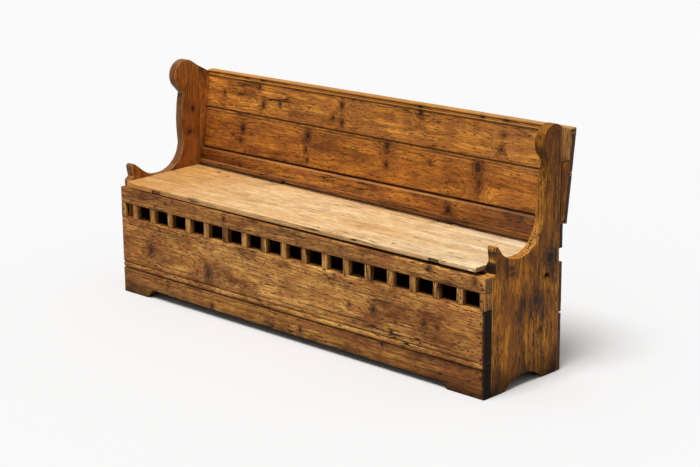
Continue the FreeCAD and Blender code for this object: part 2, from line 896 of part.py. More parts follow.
def hinge_leaf(label, position, near_face, far_face, knuckles, plate_runs):
    """Leaf with its knuckles; the plate stands clear of the other leaf's knuckles."""
    body = new_body(label)
    half = "hinge_length / 2"
    left, right = sorted((near_face, far_face), key=measure)
    sketch = sketch_on(body, "YZ_Plane", f"-{half}")
    draw_outline(sketch, rectangle(left, "-leaf_height - leaf_notch", right, "-leaf_notch"))
    pad(body, sketch, "hinge_length")
    for start, length in plate_runs:
        web = sketch_on(body, "YZ_Plane", start)
        draw_outline(web, rectangle(left, "-leaf_notch - leaf_gap", right, "-pin_radius"))
        pad(body, web, length)
    for start, length in knuckles:
        add_round(body, "knuckle_radius", start, length)
    add_round(body, "pin_radius + pin_clearance", f"-{half} - pin_end_clearance",
              "hinge_length + 2 * pin_end_clearance", cut=True)
    set_on_hinge_line(body, position)


def butt_hinge(side, position):
    """Three-knuckle butt hinge: middle knuckle on the seat, outer two on the rail."""
    half = "hinge_length / 2"
    middle = "knuckle_middle / 2"
    outer_length = f"{half} - {middle} - knuckle_gap"
    outer = [(f"-{half}", outer_length), (f"{middle} + knuckle_gap", outer_length)]
    inner = [(f"-{middle}", "knuckle_middle")]
    hinge_leaf(f"hinge_seat_leaf_{side}", position, "-leaf_gap",
               "-leaf_gap - leaf_thickness", inner, inner)
    hinge_leaf(f"hinge_rail_leaf_{side}", position, "leaf_gap",
               "leaf_gap + leaf_thickness", outer, outer)
    reach = f"{half} + pin_end_clearance"
    pin = new_body(f"hinge_pin_{side}")
    add_round(pin, "pin_radius", f"-({reach})", f"2 * ({reach})")
    add_round(pin, "pin_head_radius", f"-({reach}) - pin_head_length", "pin_head_length")
    add_round(pin, "pin_head_radius", reach, "pin_head_length")
    set_on_hinge_line(pin, position)


def ring(sides, radius, height):
    """Regular closed outline with flat sides, square to the fastener's own axis."""
    turn = 2 * math.pi / sides
    corners = [Vector(radius * math.cos((side + 0.5) * turn),
                      radius * math.sin((side + 0.5) * turn), height)
               for side in range(sides)]
    return Part.makePolygon(corners + corners[:1])


def faceted(sides, levels):
    """Solid with flat facets through regular outlines, given as (radius, height)."""
    return Part.makeLoft([ring(sides, radius, height) for radius, height in levels],
                         True, True)


def nail_model():
    """Hand-made nail: low rose head of eight facets on a square tapering shank."""
    head_radius, rise = measure("nail_head_radius"), measure("nail_head_height")
    shank, length = measure("nail_radius"), measure("nail_length")
    head = faceted(HEAD_FACETS, [(head_radius * CROWN_SHARE, rise), (head_radius, 0)])
    return head.fuse(faceted(SHANK_FACETS, [(shank, 0), (shank * POINT_SHARE, -length)]))


def screw_model():
    """Countersunk screw, its flat head level with the leaf."""
    head, sink = measure("screw_head_radius"), measure("screw_head_height")
    shank, length = measure("screw_radius"), measure("screw_length")
    return faceted(SCREW_FACETS, [(head, 0), (shank, -sink), (shank, 2 * shank - length),
                                  (shank * POINT_SHARE, -length)])


def fastener_group(label, model, seats):
    """One node of identical separate fasteners, each at (place, direction of head)."""
    group = document.addObject("Part::Feature", label)
    group.Label = label
    copies = []
    for position, direction in seats:
        copy = model.copy()
        copy.Placement = Placement(position, Rotation(Vector(0, 0, 1), direction))
        copies.append(copy)
    group.Shape = Part.makeCompound(copies)
    group.Placement = Placement()
    sub_parts.append(group)


def spot(across, depth, height):
    """Point of the bench from named sizes, its depth counted from the nosing."""
    return Vector(measure(across), measure(f"({depth}) - bench_depth / 2"), measure(height))


def front_nails():
    """Nails through rail, posts, front board and plinth into the end boards."""
    heights = ("nail_in_rail", "nail_in_post", "nail_in_board_top", "nail_in_board_middle",
               "nail_in_board_foot", "nail_in_plinth")
    seats = []
    for sign, inset in (("-", "nail_inset_left"), ("", "nail_inset_right")):
        for height in heights:
            place_of_nail = spot(f"{sign}(bench_length / 2 - {inset})", "front_face", height)
            seats.append((place_of_nail, Vector(0, -1, 0)))
    fastener_group("front_nails", nail_model(), seats)


def back_nails():
    """Nails through the back boards into the end boards and raking strips."""
    seats = []
    lean = Rotation(Vector(-1, 0, 0), measure("rake_angle"))
    foot = spot("0", "rake_depth", "rake_height")
    for sign in (-1, 1):
        across = sign * measure("bench_length / 2 - end_thickness / 2")
        for edge, inward in (("rear_lower_bottom", "+"), ("rear_lower_top", "-"),
                             ("rear_upper_bottom", "+"), ("rear_upper_top", "-"),
                             ("lower_joint_left", "-")):
            rear = spot("0", "board_rear + lower_back_thickness",
                        f"{edge} {inward} back_nail_margin")
            rear.x = across
            seats.append((rear, Vector(0, 1, 0)))
        for edge, inward in (("lower_joint_right", "+"), ("upper_joint", "-"),
                             ("upper_joint", "+"), ("back_top_left", "-")):
            run = measure(rake_run(f"{edge} {inward} back_nail_margin"))
            local = Vector(across, measure("back_thickness"), run)
            seats.append((foot + lean.multVec(local), lean.multVec(Vector(0, 1, 0))))
    fastener_group("back_nails", nail_model(), seats)


def hinge_screws(label, face, direction):
    """Countersunk screws of one set of hinge leaves, flush with the leaf."""
    seats = []
    for sign in ("-", ""):
        for step in (-1, 0, 1):
            across = f"({sign}hinge_offset + {step} * screw_spacing)"
            level = f"{hinge_line(across)} - screw_drop"
            seats.append((spot(across, f"hinge_depth + {face}", level), direction))
    fastener_group(label, screw_model(), seats)


end_board("left", "-bench_length / 2")
knot_hole(end_board("right", INNER_RIGHT))
raking_strip("end_strip_left", "-bench_length / 2", "lower_joint_left + strip_gap",
             full_strip_top)
raking_strip("end_strip_right_upper", INNER_RIGHT, "strip_joint + strip_gap",
             notched_strip_top)
raking_strip("end_strip_right_lower", INNER_RIGHT, "lower_joint_right + strip_gap",
             flat_strip_top, inset="strip_lower_inset")
front_top_rail()
end_post("left", "-bench_length / 2", "post_width_left")
end_post("right", "bench_length / 2 - post_width_right", "post_width_right")
for number in range(int(measure("baluster_count"))):
    baluster(number)
front_board()
plinth_board()
seat_board()
seat_batten("left", "-")
seat_batten("right", "")
rear_seat_rail()
reeded_moulding()
seat_bearer("left", INNER_LEFT, "-seat_left")
seat_bearer("right", f"{INNER_RIGHT} - bearer_width", "seat_right")
raking_board("back_board_1", back_board_top)
raking_board("back_board_2", back_board_second)
tapered_board("back_board_3", "-bench_length / 2", "bench_length / 2", seat_back_board)
lower_back_board("back_board_4", "rear_upper_bottom", "rear_upper_top")
lower_back_board("back_board_5", "rear_lower_bottom", "rear_lower_top")
cap_moulding()
for number in range(int(measure("floor_board_count"))):
    floor_board(number)
floor_cleat("floor_cleat_left", INNER_LEFT, "cleat_width", "cleat_front", "cleat_rear")
floor_cleat("floor_cleat_right", f"{INNER_RIGHT} - cleat_width", "cleat_width",
            "cleat_front", "cleat_rear")
floor_cleat("floor_cross_bearer", "-cross_bearer_width / 2", "cross_bearer_width",
            "front_face + front_thickness", "board_rear")
butt_hinge("left", "-hinge_offset")
butt_hinge("right", "hinge_offset")
front_nails()
back_nails()
hinge_screws("hinge_screws_seat", "(-leaf_gap)", Vector(0, 1, 0))
hinge_screws("hinge_screws_rail", "leaf_gap", Vector(0, -1, 0))

document.recompute()
for item in document.Objects:
    if "Invalid" in item.State or "Error" in item.State:
        raise RuntimeError(f"{item.Label}: not computed")
os.makedirs("parts", exist_ok=True)
for piece in sub_parts:
    shape = piece.Shape
    if shape.isNull() or not shape.isValid():
        raise RuntimeError(f"{piece.Label}: bad shape")
for piece in sub_parts:
    piece.Shape.exportStep(f"parts/{piece.Label}.step")
print(len(sub_parts), "pieces written")
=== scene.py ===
import logging
import math
from dataclasses import dataclass, field, replace
from enum import Enum
from typing import Iterator, Sequence, Union

import bmesh
import bpy
from mathutils import Matrix, Vector, kdtree, noise


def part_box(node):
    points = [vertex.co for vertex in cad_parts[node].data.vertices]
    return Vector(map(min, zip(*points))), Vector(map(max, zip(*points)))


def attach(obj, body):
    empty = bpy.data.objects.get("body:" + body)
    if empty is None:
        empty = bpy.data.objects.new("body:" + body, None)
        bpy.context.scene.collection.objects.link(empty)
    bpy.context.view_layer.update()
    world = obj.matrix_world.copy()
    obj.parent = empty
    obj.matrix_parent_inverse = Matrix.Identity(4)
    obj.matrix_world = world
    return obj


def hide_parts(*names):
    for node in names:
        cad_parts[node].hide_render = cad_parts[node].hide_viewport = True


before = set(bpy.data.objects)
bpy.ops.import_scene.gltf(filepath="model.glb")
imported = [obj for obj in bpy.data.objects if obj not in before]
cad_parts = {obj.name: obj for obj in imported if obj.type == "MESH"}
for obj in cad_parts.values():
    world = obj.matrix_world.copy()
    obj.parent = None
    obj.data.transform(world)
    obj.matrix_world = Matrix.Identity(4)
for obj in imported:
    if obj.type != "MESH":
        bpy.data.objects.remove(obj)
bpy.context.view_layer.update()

# Looks of an old boarded settle in pine. Every board is a copy of its solid with
# worn arrises, nibbled ends and a wavering surface, dressed in its own pine
# figure. Metres, in the bench's own frame: X along it, Y to its back, Z up.

LOG = logging.getLogger("settle")
Colour = tuple[float, float, float, float]
Socket = bpy.types.NodeSocket
Value = Union[float, str, tuple, Socket]

SHARP = math.radians(30)
SHADED_SHARP = math.radians(42)
FLAT = math.radians(0.4)
TOUCHING = 1e-6
ARRIS_ROWS = 3
REACH_OF_INSET = 0.06
END_GRAIN = 0.45
SLOW_WAVES = 9.0
QUICK_WAVES = 38.0
NIBBLE_WAVES = 55.0
WOOD_SPECULAR = 0.15
SHAPE_STEPS = (5.1, 2.3, 3.7)
LOOK_STEPS = (3.17, 1.73, 2.39)
# Blackened far end of a board, past its black_from place.
END_BLACK_WANDER = 0.016
END_BLACK_STRENGTH = 0.9
# Darker wood towards the floor.
LOW_DARK_WANDER = 0.05
LOW_DARK_STRENGTH = 0.8
SCREEN_GAMMA = 2.2
ORIGIN = (0.0, 0.0, 0.0)
GREY = (0.5, 0.5, 0.5, 1.0)
PLACED = {"Place": ORIGIN, "Seed": ORIGIN}
SOCKET_KINDS = {3: "Vector", 4: "Color"}


def hex_colour(code: str) -> Colour:
    """Linear colour of a six-digit screen colour.

    Args:
        code: Red, green and blue as two hexadecimal digits each.

    Returns:
        Linear red, green, blue and an alpha of one.
    """
    def linear(level: float) -> float:
        """Linear value of one screen level from 0 to 1."""
        return level / 12.92 if level <= 0.04045 else ((level + 0.055) / 1.055) ** 2.4

    red, green, blue = (linear(int(code[i:i + 2], 16) / 255) for i in (0, 2, 4))
    return (red, green, blue, 1.0)


def tint(red: float, green: float, blue: float) -> Colour:
    """Linear multiplier for ratios given in screen levels."""
    return (red ** SCREEN_GAMMA, green ** SCREEN_GAMMA, blue ** SCREEN_GAMMA, 1.0)


PLAIN = tint(1.0, 1.0, 1.0)


class Grain(Enum):
    """Order of axes on a board: along its grain, across its face, through it."""

    BENCH_FACE = (0, 2, 1)
    BENCH_TOP = (0, 1, 2)
    UPRIGHT_END = (2, 1, 0)
    UPRIGHT_FRONT = (2, 0, 1)
    DEPTH_SIDE = (1, 2, 0)


class Graph:
    """Adds shader nodes to one tree and joins them."""

    def __init__(self, tree: bpy.types.NodeTree) -> None:
        """Keep the tree that nodes are added to."""
        self.tree = tree

    def add(self, kind: str, inputs: Sequence[Value] = (), **settings: object) -> bpy.types.Node:
        """Add one node.

        Args:
            kind: Node type without its ShaderNode prefix.
            inputs: Values or sockets for its first inputs, in order.
            settings: Properties of the node.

        Returns:
            The new node.
        """
        node = self.tree.nodes.new(f"ShaderNode{kind}")
        for name, setting in settings.items():
            setattr(node, name, setting)
        for socket, value in zip(node.inputs, inputs):
            self.feed(socket, value)
        return node

    def feed(self, socket: Socket, value: Value) -> None:
        """Link a socket, or set it.

        Args:
            socket: Input to feed.
            value: Output to link, plain value or six-digit screen colour.
        """
        if isinstance(value, bpy.types.NodeSocket):
            self.tree.links.new(value, socket)
        else:
            socket.default_value = hex_colour(value) if isinstance(value, str) else value

    def fill(self, node: bpy.types.Node, values: dict[str, Value]) -> None:
        """Feed a node's inputs by their names."""
        for label, value in values.items():
            self.feed(node.inputs[label], value)

    def calc(self, operation: str, *values: Value, clamp: bool = False) -> Socket:
        """Result of one arithmetic step on numbers."""
        return self.add("Math", values, operation=operation, use_clamp=clamp).outputs[0]

    def plus(self, one: Value, other: Value, clamp: bool = False) -> Socket:
        """Sum of two numbers."""
        return self.calc("ADD", one, other, clamp=clamp)

    def minus(self, one: Value, other: Value, clamp: bool = False) -> Socket:
        """One number less the other."""
        return self.calc("SUBTRACT", one, other, clamp=clamp)

    def times(self, one: Value, other: Value, clamp: bool = False) -> Socket:
        """Product of two numbers."""
        return self.calc("MULTIPLY", one, other, clamp=clamp)

    def most(self, one: Value, other: Value) -> Socket:
        """Greater of two numbers."""
        return self.calc("MAXIMUM", one, other)

    def parts(self, vector: Value) -> Sequence[Socket]:
        """The three numbers of a vector."""
        return self.add("SeparateXYZ", (vector,)).outputs

    def vector(self, operation: str, *values: Value) -> Socket:
        """Result of one arithmetic step on vectors."""
        return self.add("VectorMath", values, operation=operation).outputs[0]

    def smooth(self, value: Value, low: float, high: Value) -> Socket:
        """Smooth step from 0 at low to 1 at high; high may lie below low."""
        node = self.add("MapRange", (value, low, high), interpolation_type="SMOOTHSTEP")
        return node.outputs[0]

    def noise(self, place: Value, scale: float = 1.0, detail: float = 2.0,
              roughness: float = 0.5) -> Socket:
        """Noise from about 0.2 to 0.8.

        Args:
            place: Where it is read.
            scale: Waves in a unit of length.
            detail: Number of finer layers.
            roughness: Strength of each finer layer.

        Returns:
            The noise.
        """
        node = self.add("TexNoise", noise_dimensions="3D", normalize=True)
        self.fill(node, {"Vector": place, "Scale": scale, "Detail": detail, "Roughness": roughness})
        return node.outputs["Fac"]

    def mix(self, factor: Value, low: Value, high: Value, mode: str = "MIX") -> Socket:
        """Blend two colours.

        Args:
            factor: Share of the second colour.
            low: First colour.
            high: Second colour.
            mode: How the second is laid over the first.

        Returns:
            The blended colour.
        """
        node = self.add("Mix", data_type="RGBA", blend_type=mode)
        for name, value in (("Factor_Float", factor), ("A_Color", low), ("B_Color", high)):
            socket = next(item for item in node.inputs if item.identifier == name)
            self.feed(socket, value)
        return next(item for item in node.outputs if item.identifier == "Result_Color")

    def bump(self, strength: float, distance: float, height: Socket) -> Socket:
        """Normal of a surface that is not smooth.

        Args:
            strength: How much the heights show.
            distance: Depth of the greatest height.
            height: Heights over the surface.

        Returns:
            The normal.
        """
        node = self.add("Bump")
        self.fill(node, {"Strength": strength, "Distance": distance, "Height": height})
        return node.outputs["Normal"]

    def use(self, effect: "Effect", finish: object = None, **values: Value) -> dict[str, Socket]:
        """Place an effect's group with its own values.

        Args:
            effect: The effect to place.
            finish: Its fields feed the inputs that have their names.
            values: The other inputs; a name's underscores stand for spaces.

        Returns:
            The group's outputs by name.
        """
        node = self.add("Group", node_tree=effect.tree)
        for label in effect.inputs:
            name = label.lower().replace(" ", "_")
            if hasattr(finish, name):
                self.feed(node.inputs[label], getattr(finish, name))
        self.fill(node, {name.replace("_", " "): value for name, value in values.items()})
        return {socket.name: socket for socket in node.outputs}


def new_material(name: str) -> tuple[bpy.types.Material, Graph, bpy.types.Node]:
    """Start a material.

    Args:
        name: Its name.

    Returns:
        The material, its graph and its surface shader.
    """
    made = bpy.data.materials.new(name)
    made.use_nodes = True
    return made, Graph(made.node_tree), made.node_tree.nodes["Principled BSDF"]


def linked(name: str, data: bpy.types.ID) -> bpy.types.Object:
    """Make an object that stands in the scene.

    Args:
        name: Its name.
        data: Its mesh, lamp or camera.

    Returns:
        The object.
    """
    made = bpy.data.objects.new(name, data)
    bpy.context.scene.collection.objects.link(made)
    return made


class Effect(Graph):
    """A shader node group with named inputs and outputs, built once."""

    name = ""
    inputs: dict[str, Value] = {}
    outputs: tuple[str, ...] = ()

    def __init__(self) -> None:
        """Make the group, its sockets and its nodes."""
        super().__init__(bpy.data.node_groups.new(self.name, "ShaderNodeTree"))
        for label, default in self.inputs.items():
            kind = SOCKET_KINDS[len(default)] if isinstance(default, tuple) else "Float"
            self.socket(label, "INPUT", kind).default_value = default
        for label in self.outputs:
            self.socket(label, "OUTPUT", "Color" if label == "Colour" else "Float")
        self.entry = self.tree.nodes.new("NodeGroupInput")
        self.fill(self.tree.nodes.new("NodeGroupOutput"), self.make())

    def __getitem__(self, label: str) -> Socket:
        """One of the group's inputs."""
        return self.entry.outputs[label]

    def socket(self, label: str, side: str, kind: str) -> bpy.types.NodeTreeInterfaceSocket:
        """Add one input or output to the group."""
        return self.tree.interface.new_socket(name=label, in_out=side,
                                              socket_type=f"NodeSocket{kind}")

    def make(self) -> dict[str, Socket]:
        """Add the group's nodes.

        Returns:
            The group's outputs by name.
        """
        raise NotImplementedError

    def stretched(self, along: float, across: float) -> Socket:
        """Place shifted by the seed and scaled along and across the grain."""
        shifted = self.vector("ADD", self["Place"], self["Seed"])
        return self.vector("MULTIPLY", shifted, (along, across, across))

    def streaks(self, along: float, across: float, detail: float = 2.0,
                roughness: float = 0.5) -> Socket:
        """Noise that is stretched along the grain.

        Args:
            along: Waves in a metre along the grain.
            across: Waves in a metre across it.
            detail: Number of finer layers.
            roughness: Strength of each finer layer.

        Returns:
            The noise.
        """
        place = self.stretched(along, across)
        return self.noise(place, 1.0, detail, roughness)


class Figure(Effect):
    """Year rings, fibres and broad streaks of a sawn pine board."""

    name = "pine figure"
    inputs = {**PLACED, "Pith across": 0.0, "Pith depth": 0.05, "Ring width": 0.005, "Wander": 0.02,
              "Swirl": 0.0}
    outputs = ("Late wood", "Fibre", "Streak")

    def make(self) -> dict[str, Socket]:
        """Rings lie round the pith and wander along the board.

        Returns:
            How far each point is late wood, fibre and streak.
        """
        broad = self.streaks(1.3, 7.0)
        fine = self.streaks(7.0, 45.0)
        wander = self.times(self.minus(broad, 0.5), self["Wander"])
        ripple = self.times(self.minus(fine, 0.5), 0.009)
        parts = self.parts(self["Place"])
        across = self.minus(parts[1], self["Pith across"])
        depth = self.minus(parts[2], self["Pith depth"])
        squares = self.plus(self.times(across, across), self.times(depth, depth))
        radius = self.plus(self.calc("SQRT", squares), self["Swirl"])
        radius = self.plus(self.plus(radius, wander), ripple)
        radius = self.calc("MULTIPLY_ADD", parts[0], 0.022, radius)
        count = self.calc("DIVIDE", radius, self["Ring width"])
        phase = self.calc("FRACT", count)
        rise = self.smooth(phase, 0.4, 0.88)
        fall = self.smooth(phase, 1.0, 0.92)
        number = self.calc("FLOOR", count)
        chance = self.add("TexWhiteNoise", noise_dimensions="1D")
        self.feed(chance.inputs["W"], number)
        strength = self.calc("MULTIPLY_ADD", chance.outputs["Value"], 0.65, 0.35)
        late = self.times(self.times(rise, fall), strength)
        fibre = self.streaks(9.0, 420.0, 3.0, 0.65)
        streak = self.streaks(1.6, 38.0, 3.0, 0.6)
        return {"Late wood": late, "Fibre": fibre, "Streak": streak}


class KnotMark(Effect):
    """One knot, added to those before it: dark heart, stain and bent grain."""

    name = "knot"
    inputs = {**PLACED, "Along": 0.0, "Across": 0.0, "Size": 0.01, "Tall": 1.0, "Tone": 1.0,
              "Black": 0.0, "Heart": 0.0, "Halo": 0.0, "Swirl": 0.0, "Core": 0.0}
    outputs = ("Heart", "Halo", "Swirl", "Core")

    def make(self) -> dict[str, Socket]:
        """The heart's edge is ragged and the halo runs up and down the board.

        Returns:
            The marks of this knot and of those before it.
        """
        parts = self.parts(self["Place"])
        along = self.minus(parts[0], self["Along"])
        across = self.calc("DIVIDE", self.minus(parts[1], self["Across"]), self["Tall"])
        shape = self.add("CombineXYZ", (along, across, 0.0)).outputs[0]
        reach = self.add("VectorMath", (shape,), operation="LENGTH").outputs["Value"]
        relative = self.calc("DIVIDE", reach, self["Size"])
        ragged = self.streaks(130.0, 130.0, 3.0)
        relative = self.plus(relative, self.calc("MULTIPLY_ADD", ragged, 1.3, -0.65))
        centre = self.smooth(relative, 1.0, 0.5)
        off_ring = self.calc("ABSOLUTE", self.minus(relative, 1.25))
        ring = self.times(self.smooth(off_ring, 0.35, 0.08), 0.6)
        inner = self.times(self.smooth(relative, 1.4, 1.0), 0.3)
        heart = self.most(centre, self.most(ring, inner))
        heart = self.times(heart, self["Tone"])
        halo = self.times(self.smooth(relative, 4.2, 0.8), self["Tone"])
        bend = self.times(self.smooth(relative, 5.5, 0.2), self["Size"])
        gap = self.minus(self["Black"], relative)
        core = self.times(self.smooth(gap, -0.15, 0.15),
                          self.calc("GREATER_THAN", self["Black"], 0.0))
        return {"Core": self.most(core, self["Core"]), "Heart": self.most(heart, self["Heart"]),
                "Halo": self.most(halo, self["Halo"]),
                "Swirl": self.plus(self.times(bend, 1.2), self["Swirl"])}


class SplitMark(Effect):
    """One drying split along the grain, added to those before it."""

    name = "split"
    inputs = {**PLACED, "Start": 0.0, "End": 1.0, "Across": 0.0, "Rise": 0.0, "Width": 0.002,
              "Split": 0.0}
    outputs = ("Split",)

    def make(self) -> dict[str, Socket]:
        """The line wavers with the grain and thins towards both ends.

        Returns:
            The mark of this split and of those before it.
        """
        parts = self.parts(self["Place"])
        waver = self.streaks(6.0, 6.0, 3.0)
        past = self.minus(parts[0], self["Start"])
        off = self.minus(self.minus(parts[1], self["Across"]), self.times(past, self["Rise"]))
        off = self.calc("ABSOLUTE", self.plus(off, self.calc("MULTIPLY_ADD", waver, 0.012, -0.006)))
        share = self.add("MapRange", (parts[0], self["Start"], self["End"])).outputs[0]
        full = self.times(self.smooth(share, 0.0, 0.15), self.smooth(share, 1.0, 0.8))
        inside = self.minus(1.0, self.calc("DIVIDE", off, self["Width"]), clamp=True)
        line = self.times(inside, full)
        return {"Split": self.most(line, self["Split"])}


class AgeMarks(Effect):
    """Marks of age: shakes, worm holes, dashes, specks, stains and patches."""

    name = "age marks"
    inputs = {**PLACED, "Shakes": 0.5, "Worm": 0.5}
    outputs = ("Shake", "Hole", "Fleck", "Speck", "Stain", "Patch")

    def make(self) -> dict[str, Socket]:
        """Shakes are level lines of a long noise, holes are chosen cells.

        Returns:
            One mask for each kind of mark.
        """
        lines = self.streaks(3.2, 44.0)
        nearness = self.calc("ABSOLUTE", self.minus(lines, 0.5))
        thin = self.smooth(nearness, 0.024, 0.004)
        where = self.streaks(2.6, 9.0, 1.0)
        share = self.plus(where, self.calc("MULTIPLY_ADD", self["Shakes"], 0.3, -0.15))
        shake = self.times(thin, self.smooth(share, 0.5, 0.62))
        cells = self.add("TexVoronoi", voronoi_dimensions="3D", feature="F1")
        self.fill(cells, {"Vector": self.stretched(95.0, 95.0), "Scale": 1.0})
        chosen = self.add("SeparateColor", (cells.outputs["Color"],)).outputs[0]
        zone = self.streaks(5.0, 8.0, 1.0)
        rate = self.times(self.smooth(zone, 0.42, 0.68), self["Worm"])
        picked = self.calc("LESS_THAN", chosen, rate)
        hole = self.times(self.smooth(cells.outputs["Distance"], 0.2, 0.12), picked)
        dashes = self.streaks(30.0, 300.0)
        fleck = self.smooth(dashes, 0.53, 0.66)
        dust = self.streaks(75.0, 190.0)
        cluster = self.streaks(7.0, 13.0)
        speck = self.times(self.smooth(dust, 0.6, 0.7), self.smooth(cluster, 0.46, 0.6))
        stain = self.smooth(self.streaks(5.0, 13.0, 6.0, 0.68), 0.46, 0.68)
        patch = self.smooth(self.streaks(11.0, 24.0, 4.0, 0.6), 0.4, 0.6)
        return {"Shake": shake, "Hole": hole, "Fleck": fleck, "Speck": speck,
                "Stain": stain, "Patch": patch}


class EdgeWearAndLight(Effect):
    """Bare wood on the arrises, also a painted highlight, and grime with painted shade held along
    the edges of a face.
    """

    name = "edge wear"
    inputs = {**PLACED, "Arris": 0.0, "Inset": 0.05, "Grime reach": 0.01}
    outputs = ("Bare wood", "Held grime")

    def make(self) -> dict[str, Socket]:
        """Both come and go along the edge.

        Returns:
            The masks of bare wood with its painted highlight, and of grime with its painted shade.
        """
        patchy = self.streaks(16.0, 60.0, 3.0)
        bare = self.times(self["Arris"], self.smooth(patchy, 0.3, 0.56))
        broken = self.streaks(11.0, 90.0, 3.0, 0.6)
        edge = self.calc("DIVIDE", self["Inset"], self["Grime reach"])
        edge = self.plus(edge, self.calc("MULTIPLY_ADD", broken, 3.2, -1.3))
        kept = self.minus(1.0, self["Arris"], clamp=True)
        return {"Bare wood": bare, "Held grime": self.times(self.smooth(edge, 1.0, 0.0), kept)}


class Gloom(Effect):
    """Painted shade: blackness of the inside of the box, from behind its front edge to its back."""

    name = "gloom"
    inputs = {"Object place": ORIGIN, "Side": 0.8895, "Front": -0.233, "Back": 0.161, "Top": 0.43,
              "Strength": 0.82}
    outputs = ("Gloom",)

    def make(self) -> dict[str, Socket]:
        """Inside is between the end boards, behind the front and under the seat.

        Returns:
            How black the painted shade makes each point.
        """
        x, y, z = self.parts(self["Object place"])
        between = self.calc("LESS_THAN", self.calc("ABSOLUTE", x), self["Side"])
        under = self.calc("LESS_THAN", z, self["Top"])
        ahead = self.calc("LESS_THAN", y, self["Back"])
        depth = self.smooth(self.minus(y, self["Front"]), 0.0, 0.03)
        inside = self.times(self.times(between, under), ahead)
        deep = self.times(depth, self["Strength"])
        return {"Gloom": self.times(inside, deep)}


class BandTone(Effect):
    """A straight band along the grain, laid over a colour."""

    name = "band"
    inputs = {"Place": ORIGIN, "Colour": GREY, "Tone": GREY, "Low": 0.0, "High": 1.0, "Rise": 0.0,
              "Start": -9.0, "End": 9.0, "Soft": 0.001, "Strength": 1.0}
    outputs = ("Colour",)

    def make(self) -> dict[str, Socket]:
        """The band fades over a soft edge and breaks up a little along its length.

        Returns:
            The colour with the band on it.
        """
        parts = self.parts(self["Place"])
        level = self.minus(parts[1], self.times(parts[0], self["Rise"]))
        over = self.calc("DIVIDE", self.minus(level, self["Low"]), self["Soft"])
        below = self.calc("DIVIDE", self.minus(self["High"], level), self["Soft"])
        inside = self.smooth(self.calc("MINIMUM", over, below), -1.0, 1.0)
        after = self.calc("GREATER_THAN", parts[0], self["Start"])
        before = self.calc("LESS_THAN", parts[0], self["End"])
        inside = self.times(inside, self.times(after, before))
        broken = self.noise(self.vector("MULTIPLY", self["Place"], (24.0, 60.0, 60.0)))
        full = self.times(self["Strength"], self.calc("MULTIPLY_ADD", broken, 0.8, 0.6))
        factor = self.times(inside, full, clamp=True)
        return {"Colour": self.mix(factor, self["Colour"], self["Tone"])}


class ToneAndShadeFade(Effect):
    """Change of tone along a board, from its left end to its right end: partly painted shade
    towards ends and corners, partly the wood's own tone.
    """

    name = "light fade"
    inputs = {"Place": ORIGIN, "Colour": GREY, "Left": PLAIN, "Middle": PLAIN, "Right": PLAIN}
    outputs = ("Colour",)

    def make(self) -> dict[str, Socket]:
        """The middle third keeps the middle tone.

        Returns:
            The colour in its tone along the board.
        """
        along = self.parts(self["Place"])[0]
        tone = self.mix(self.smooth(along, -0.25, -0.85), self["Middle"], self["Left"])
        tone = self.mix(self.smooth(along, 0.25, 0.8), tone, self["Right"])
        return {"Colour": self.mix(1.0, self["Colour"], tone, "MULTIPLY")}


